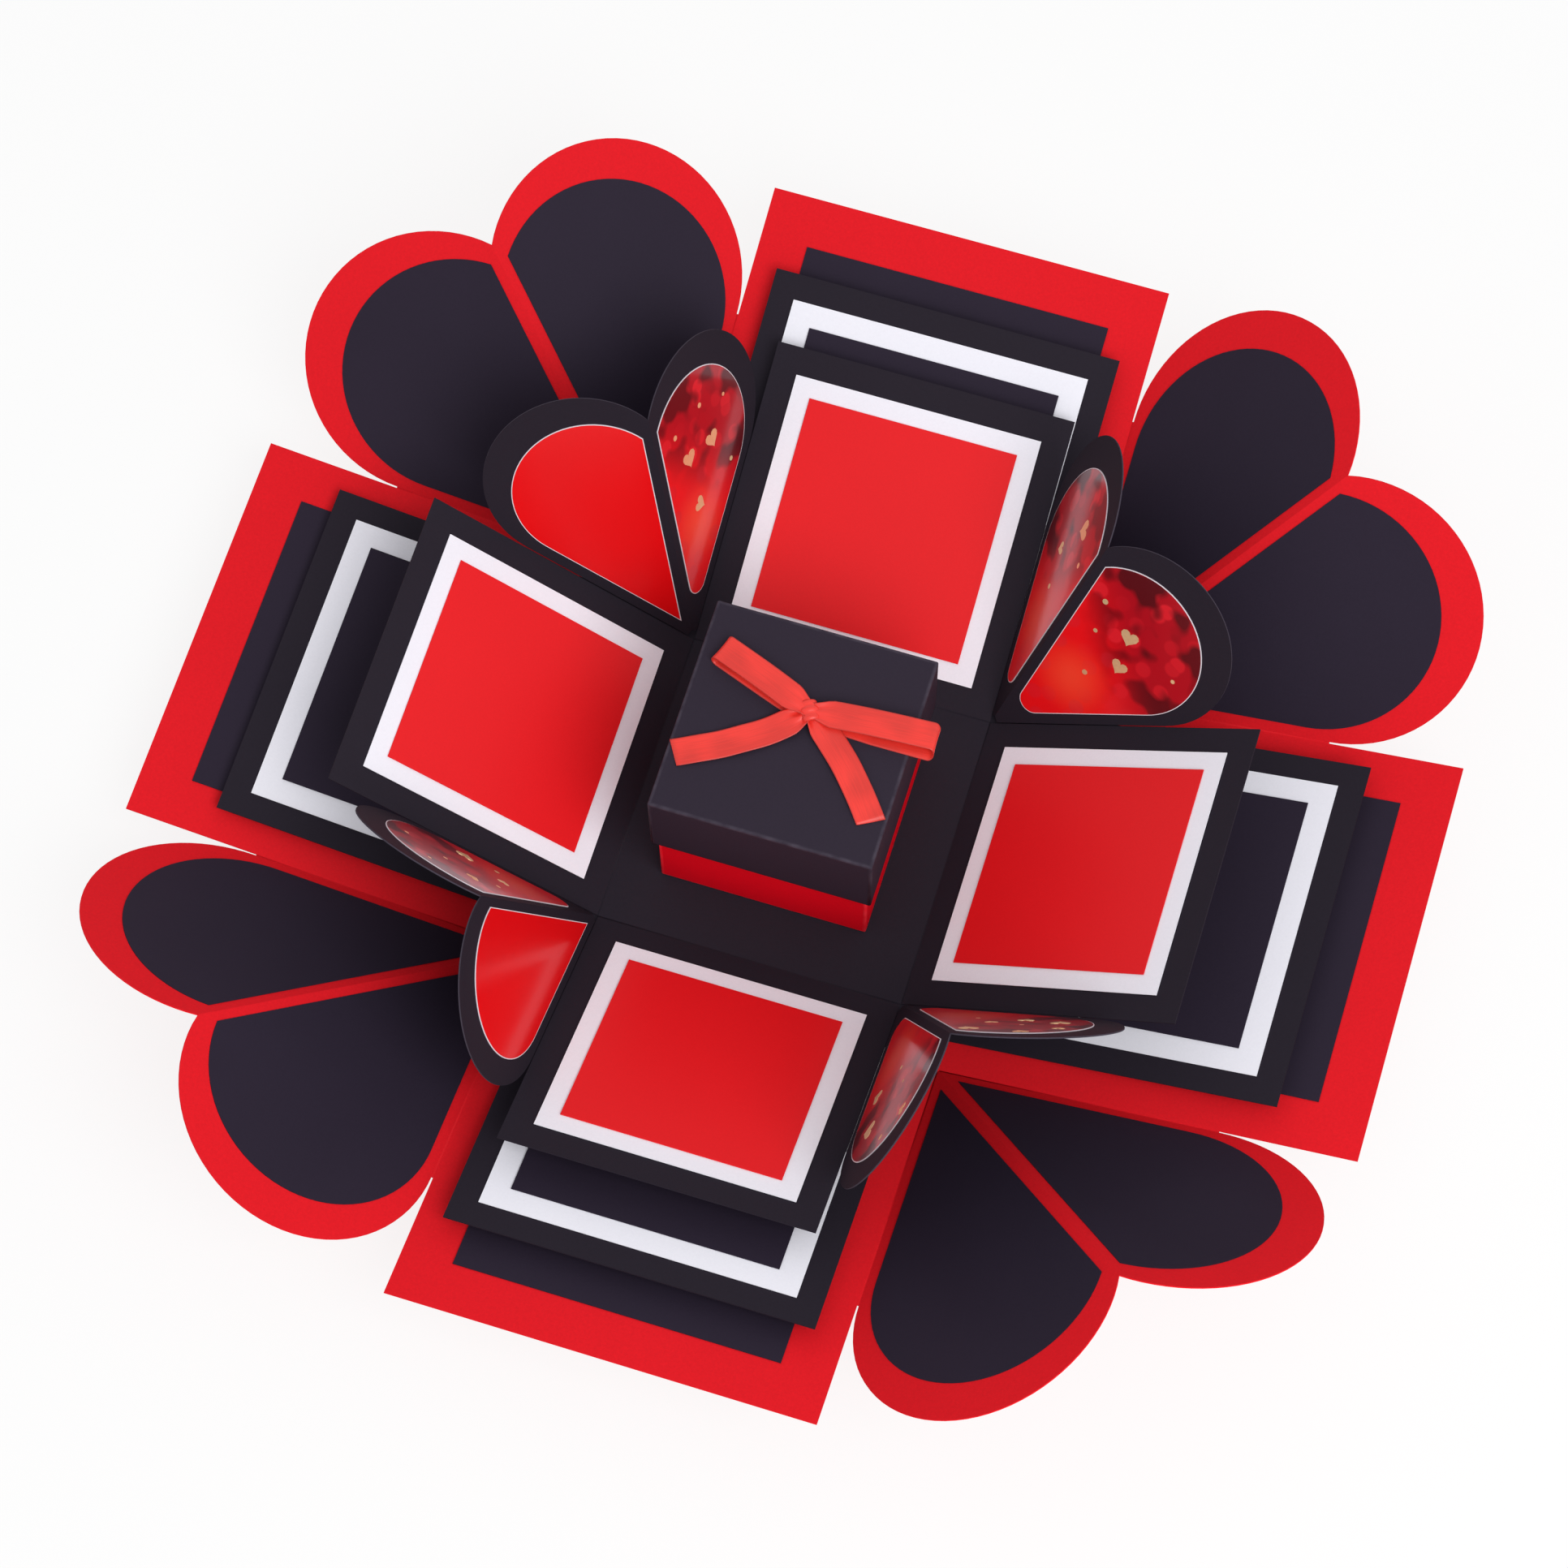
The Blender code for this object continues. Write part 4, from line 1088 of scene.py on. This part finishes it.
class EXPLOSIONBOX_OT_bow(bpy.types.Operator):
    """Tie the satin bow on the lid"""
    bl_idname = "explosion_box.bow"
    bl_label = "Bow"

    def execute(self, context):
        ribbon = settings().ribbon
        low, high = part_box("gift_box_lid")
        self.seat = Vector(((low.x + high.x) / 2 + ribbon.knot_east, (low.y + high.y) / 2 + ribbon.knot_north, high.z))
        shape = bmesh.new()
        length = 0.0
        # Heading of the upper strand from east, and how far the lower strand is turned from it
        for loop, heading, skew in ((ribbon.west_loop, 159.0, 1.0), (ribbon.east_loop, 4.0, -3.6)):
            length += self.add_ribbon(shape, ribbon, self.loop_line(ribbon, loop, heading, skew), True)
        # Heading of each tail at its end, and how far it curves on its way there
        for tail, heading, curve, cut in ((ribbon.west_tail, 205.0, 22.0, -6.0), (ribbon.south_tail, -53.0, 18.0, 8.0)):
            length += self.add_ribbon(shape, ribbon, self.tail_line(ribbon, tail, heading, curve), False, cut)
        length += self.add_knot(shape, ribbon)
        for face in shape.faces:
            face.smooth = True
        bow = finished_object("satin_bow", shape, [satin_material(ribbon)])
        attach(bow, "gift_lid")
        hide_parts("gift_bow")
        return {"FINISHED"}

    def loop_line(self, ribbon, length, heading, skew):
        """Points of a flattened loop: out over the top, round a tight fold, and back along the lid."""
        low, top = ribbon.thickness, ribbon.thickness + ribbon.loop_rise
        radius = ribbon.loop_rise / 2
        knot = 0.0032
        points = []
        out = 22
        for step in range(out + 1):
            share = step / out
            height = knot + (top - knot) * math.sin(min(share * 1.6, 1.0) * math.pi / 2)
            height += 0.0007 * math.sin(math.pi * share)
            points.append((share * (length - radius), height, 0.0))
        for step in range(1, 10):
            turn = math.pi * step / 10
            points.append((length - radius + radius * math.sin(turn), low + radius * (1 + math.cos(turn)),
                           (1 - math.cos(turn)) / 2))
        for step in range(out + 1):
            share = 1 - step / out
            height = low + (knot - 0.0012 - low) * max(0.0, 1 - share * 2.6) ** 2
            points.append((share * (length - radius), height, 1.0))
        line = []
        for distance, height, turned in points:
            angle = math.radians(heading + skew * turned * min(distance / length * 2, 1.0))
            line.append(Vector((math.cos(angle) * distance, math.sin(angle) * distance, height)))
        return line

    def tail_line(self, ribbon, length, heading, curve):
        """Points of a tail that leaves the knot turned by curve and straightens to its heading on the lid."""
        steps, line, spot = 26, [], Vector((0.0, 0.0, 0.0))
        for step in range(steps + 1):
            share = step / steps
            angle = math.radians(heading + curve * (1 - share) ** 1.5)
            height = ribbon.thickness + 0.0024 * (1 - min(share * 2.2, 1.0)) ** 2
            height += 0.0007 * math.sin(math.pi * share) ** 2 + 0.0004 * math.sin(3 * math.pi * share) ** 2
            line.append(Vector((spot.x, spot.y, height)))
            spot = spot + Vector((math.cos(angle), math.sin(angle), 0.0)) * length / steps
        return line

    def add_ribbon(self, shape, ribbon, line, looped, cut=0.0):
        """Adds a woven strip along the line, gathered into pleats by the knot. Returns its length."""
        weave = shape.loops.layers.uv.get("weave") or shape.loops.layers.uv.new("weave")
        across_steps, rows, run = 16, [], 0.0
        runs = [0.0]
        for a, b in zip(line, line[1:]):
            runs.append(runs[-1] + (b - a).length)
        for index, middle in enumerate(line):
            before, after = line[max(index - 1, 0)], line[min(index + 1, len(line) - 1)]
            forward = (after - before).normalized()
            level = Vector((middle.x, middle.y, 0.0))
            heading = Vector((line[min(index + 1, len(line) - 1)].x - before.x,
                              line[min(index + 1, len(line) - 1)].y - before.y, 0.0))
            outwards = level.normalized() if looped and level.length > 1e-4 else heading.normalized()
            if outwards.length < 0.5:
                outwards = Vector((line[3].x, line[3].y, 0.0)).normalized()
            across = Vector((-outwards.y, outwards.x, 0.0))
            normal = forward.cross(across)
            if not looped and normal.z < 0:
                normal.negate()
            spread = min(level.length / ribbon.gather, 1.0)
            eased = spread * spread * (3 - 2 * spread)
            squeeze = (ribbon.waist + (ribbon.width - ribbon.waist) * eased) / ribbon.width
            pleat = 0.00050 * math.sqrt(max(1 - squeeze * squeeze, 0.0))
            row = []
            for step in range(across_steps + 1):
                v = step / across_steps - 0.5
                wave = pleat * math.cos(v * 2 * math.pi * 2.0)
                curl = 0.0002 * (2 * v) ** 2
                shift = math.tan(math.radians(cut)) * v * ribbon.width if index == len(line) - 1 else 0.0
                spot = middle + across * v * ribbon.width * squeeze + normal * (wave + curl) + forward * shift
                row.append((spot, v * ribbon.width, normal))
            rows.append(row)
        sides = []
        for face_side in (0.5, -0.5):
            grid = []
            for row in rows:
                grid.append([shape.verts.new(self.seat + spot + normal * face_side * ribbon.thickness)
                             for spot, _, normal in row])
            sides.append(grid)
        across_places = [v for _, v, _ in rows[0]]

        def add_face(verts, uvs):
            face = shape.faces.new(verts)
            for loop, uv in zip(face.loops, uvs):
                loop[weave].uv = uv

        last = len(rows) - 1
        for grid in sides:
            for i in range(last):
                for j in range(across_steps):
                    uvs = [(across_places[j], runs[i]), (across_places[j + 1], runs[i]),
                           (across_places[j + 1], runs[i + 1]), (across_places[j], runs[i + 1])]
                    add_face((grid[i][j], grid[i][j + 1], grid[i + 1][j + 1], grid[i + 1][j]), uvs)
        top, bottom = sides
        for i in range(last):
            for j in (0, across_steps):
                uvs = [(across_places[j], runs[k]) for k in (i, i + 1, i + 1, i)]
                add_face((top[i][j], top[i + 1][j], bottom[i + 1][j], bottom[i][j]), uvs)
        for i in (0, last):
            for j in range(across_steps):
                uvs = [(across_places[k], runs[i]) for k in (j, j + 1, j + 1, j)]
                add_face((top[i][j], top[i][j + 1], bottom[i][j + 1], bottom[i][j]), uvs)
        return runs[-1]

    def add_knot(self, shape, ribbon):
        """Adds the turn of ribbon that holds the bow together, pleated along its length."""
        weave = shape.loops.layers.uv["weave"]
        around, along = 40, 14
        axis = Matrix.Rotation(math.radians(-62.0), 3, "Z")
        half_width, half_height, reach = 0.0033, 0.0021, 0.0076
        walls = []
        for inset in (0.0, ribbon.thickness):
            grid = []
            for step in range(around):
                turn = 2 * math.pi * step / around
                row = []
                for place in range(along + 1):
                    v = place / along - 0.5
                    narrow = 1 - 0.22 * (2 * v) ** 2
                    crease = 0.00022 * math.cos(v * 2 * math.pi * 2.5 + 0.6 * math.sin(turn))
                    x = v * reach
                    y = (half_width * narrow + crease - inset) * math.cos(turn)
                    z = half_height + (half_height * narrow + crease - inset) * math.sin(turn) + ribbon.thickness
                    row.append(shape.verts.new(self.seat + axis @ Vector((x, y, z))))
                grid.append(row)
            walls.append(grid)

        def add_face(verts, uvs):
            face = shape.faces.new(verts)
            for loop, uv in zip(face.loops, uvs):
                loop[weave].uv = uv

        girth = 2 * math.pi * (half_width + half_height) / 2
        for grid in walls:
            for i in range(around):
                n = (i + 1) % around
                for j in range(along):
                    uvs = [((k / along - 0.5) * ribbon.width * 0.88, girth * m / around)
                           for k, m in ((j, i), (j + 1, i), (j + 1, i + 1), (j, i + 1))]
                    add_face((grid[i][j], grid[i][j + 1], grid[n][j + 1], grid[n][j]), uvs)
        for j in (0, along):
            for i in range(around):
                n = (i + 1) % around
                uvs = [((j / along - 0.5) * ribbon.width * 0.88, girth * i / around)] * 4
                add_face((walls[0][i][j], walls[0][n][j], walls[1][n][j], walls[1][i][j]), uvs)
        return girth


class EXPLOSIONBOX_PT_sidebar(bpy.types.Panel):
    """Lists the box's settings and the buttons of its operators"""
    bl_idname = "EXPLOSIONBOX_PT_sidebar"
    bl_label = "Explosion box"
    bl_space_type = "VIEW_3D"
    bl_region_type = "UI"
    bl_category = "Explosion box"

    def draw(self, context):
        box = context.scene.explosion_box
        for name in box.bl_rna.properties.keys():
            group = getattr(box, name)
            if not isinstance(group, bpy.types.PropertyGroup):
                continue
            column = self.layout.box().column(align=True)
            column.label(text=name.capitalize())
            for item in group.bl_rna.properties.keys():
                if item not in ("rna_type", "name"):
                    column.prop(group, item)
        for operator in OPERATORS:
            self.layout.operator(operator.bl_idname)


OPERATORS = (EXPLOSIONBOX_OT_stage, EXPLOSIONBOX_OT_card_layers, EXPLOSIONBOX_OT_folds, EXPLOSIONBOX_OT_hearts,
             EXPLOSIONBOX_OT_foil, EXPLOSIONBOX_OT_gift_box, EXPLOSIONBOX_OT_bow)
CLASSES = (CardSettings, HeartSettings, FoilSettings, GiftSettings, RibbonSettings, StageSettings,
           ExplosionBoxSettings, *OPERATORS, EXPLOSIONBOX_PT_sidebar)


def register():
    for cls in CLASSES:
        bpy.utils.register_class(cls)
    bpy.types.Scene.explosion_box = bpy.props.PointerProperty(type=ExplosionBoxSettings)


def unregister():
    del bpy.types.Scene.explosion_box
    for cls in reversed(CLASSES):
        bpy.utils.unregister_class(cls)


def main():
    register()
    bpy.ops.explosion_box.stage()
    bpy.ops.explosion_box.card_layers()
    bpy.ops.explosion_box.folds()
    bpy.ops.explosion_box.hearts()
    bpy.ops.explosion_box.foil()
    bpy.ops.explosion_box.gift_box()
    bpy.ops.explosion_box.bow()
    bpy.context.view_layer.update()


if __name__ == "__main__":
    main()
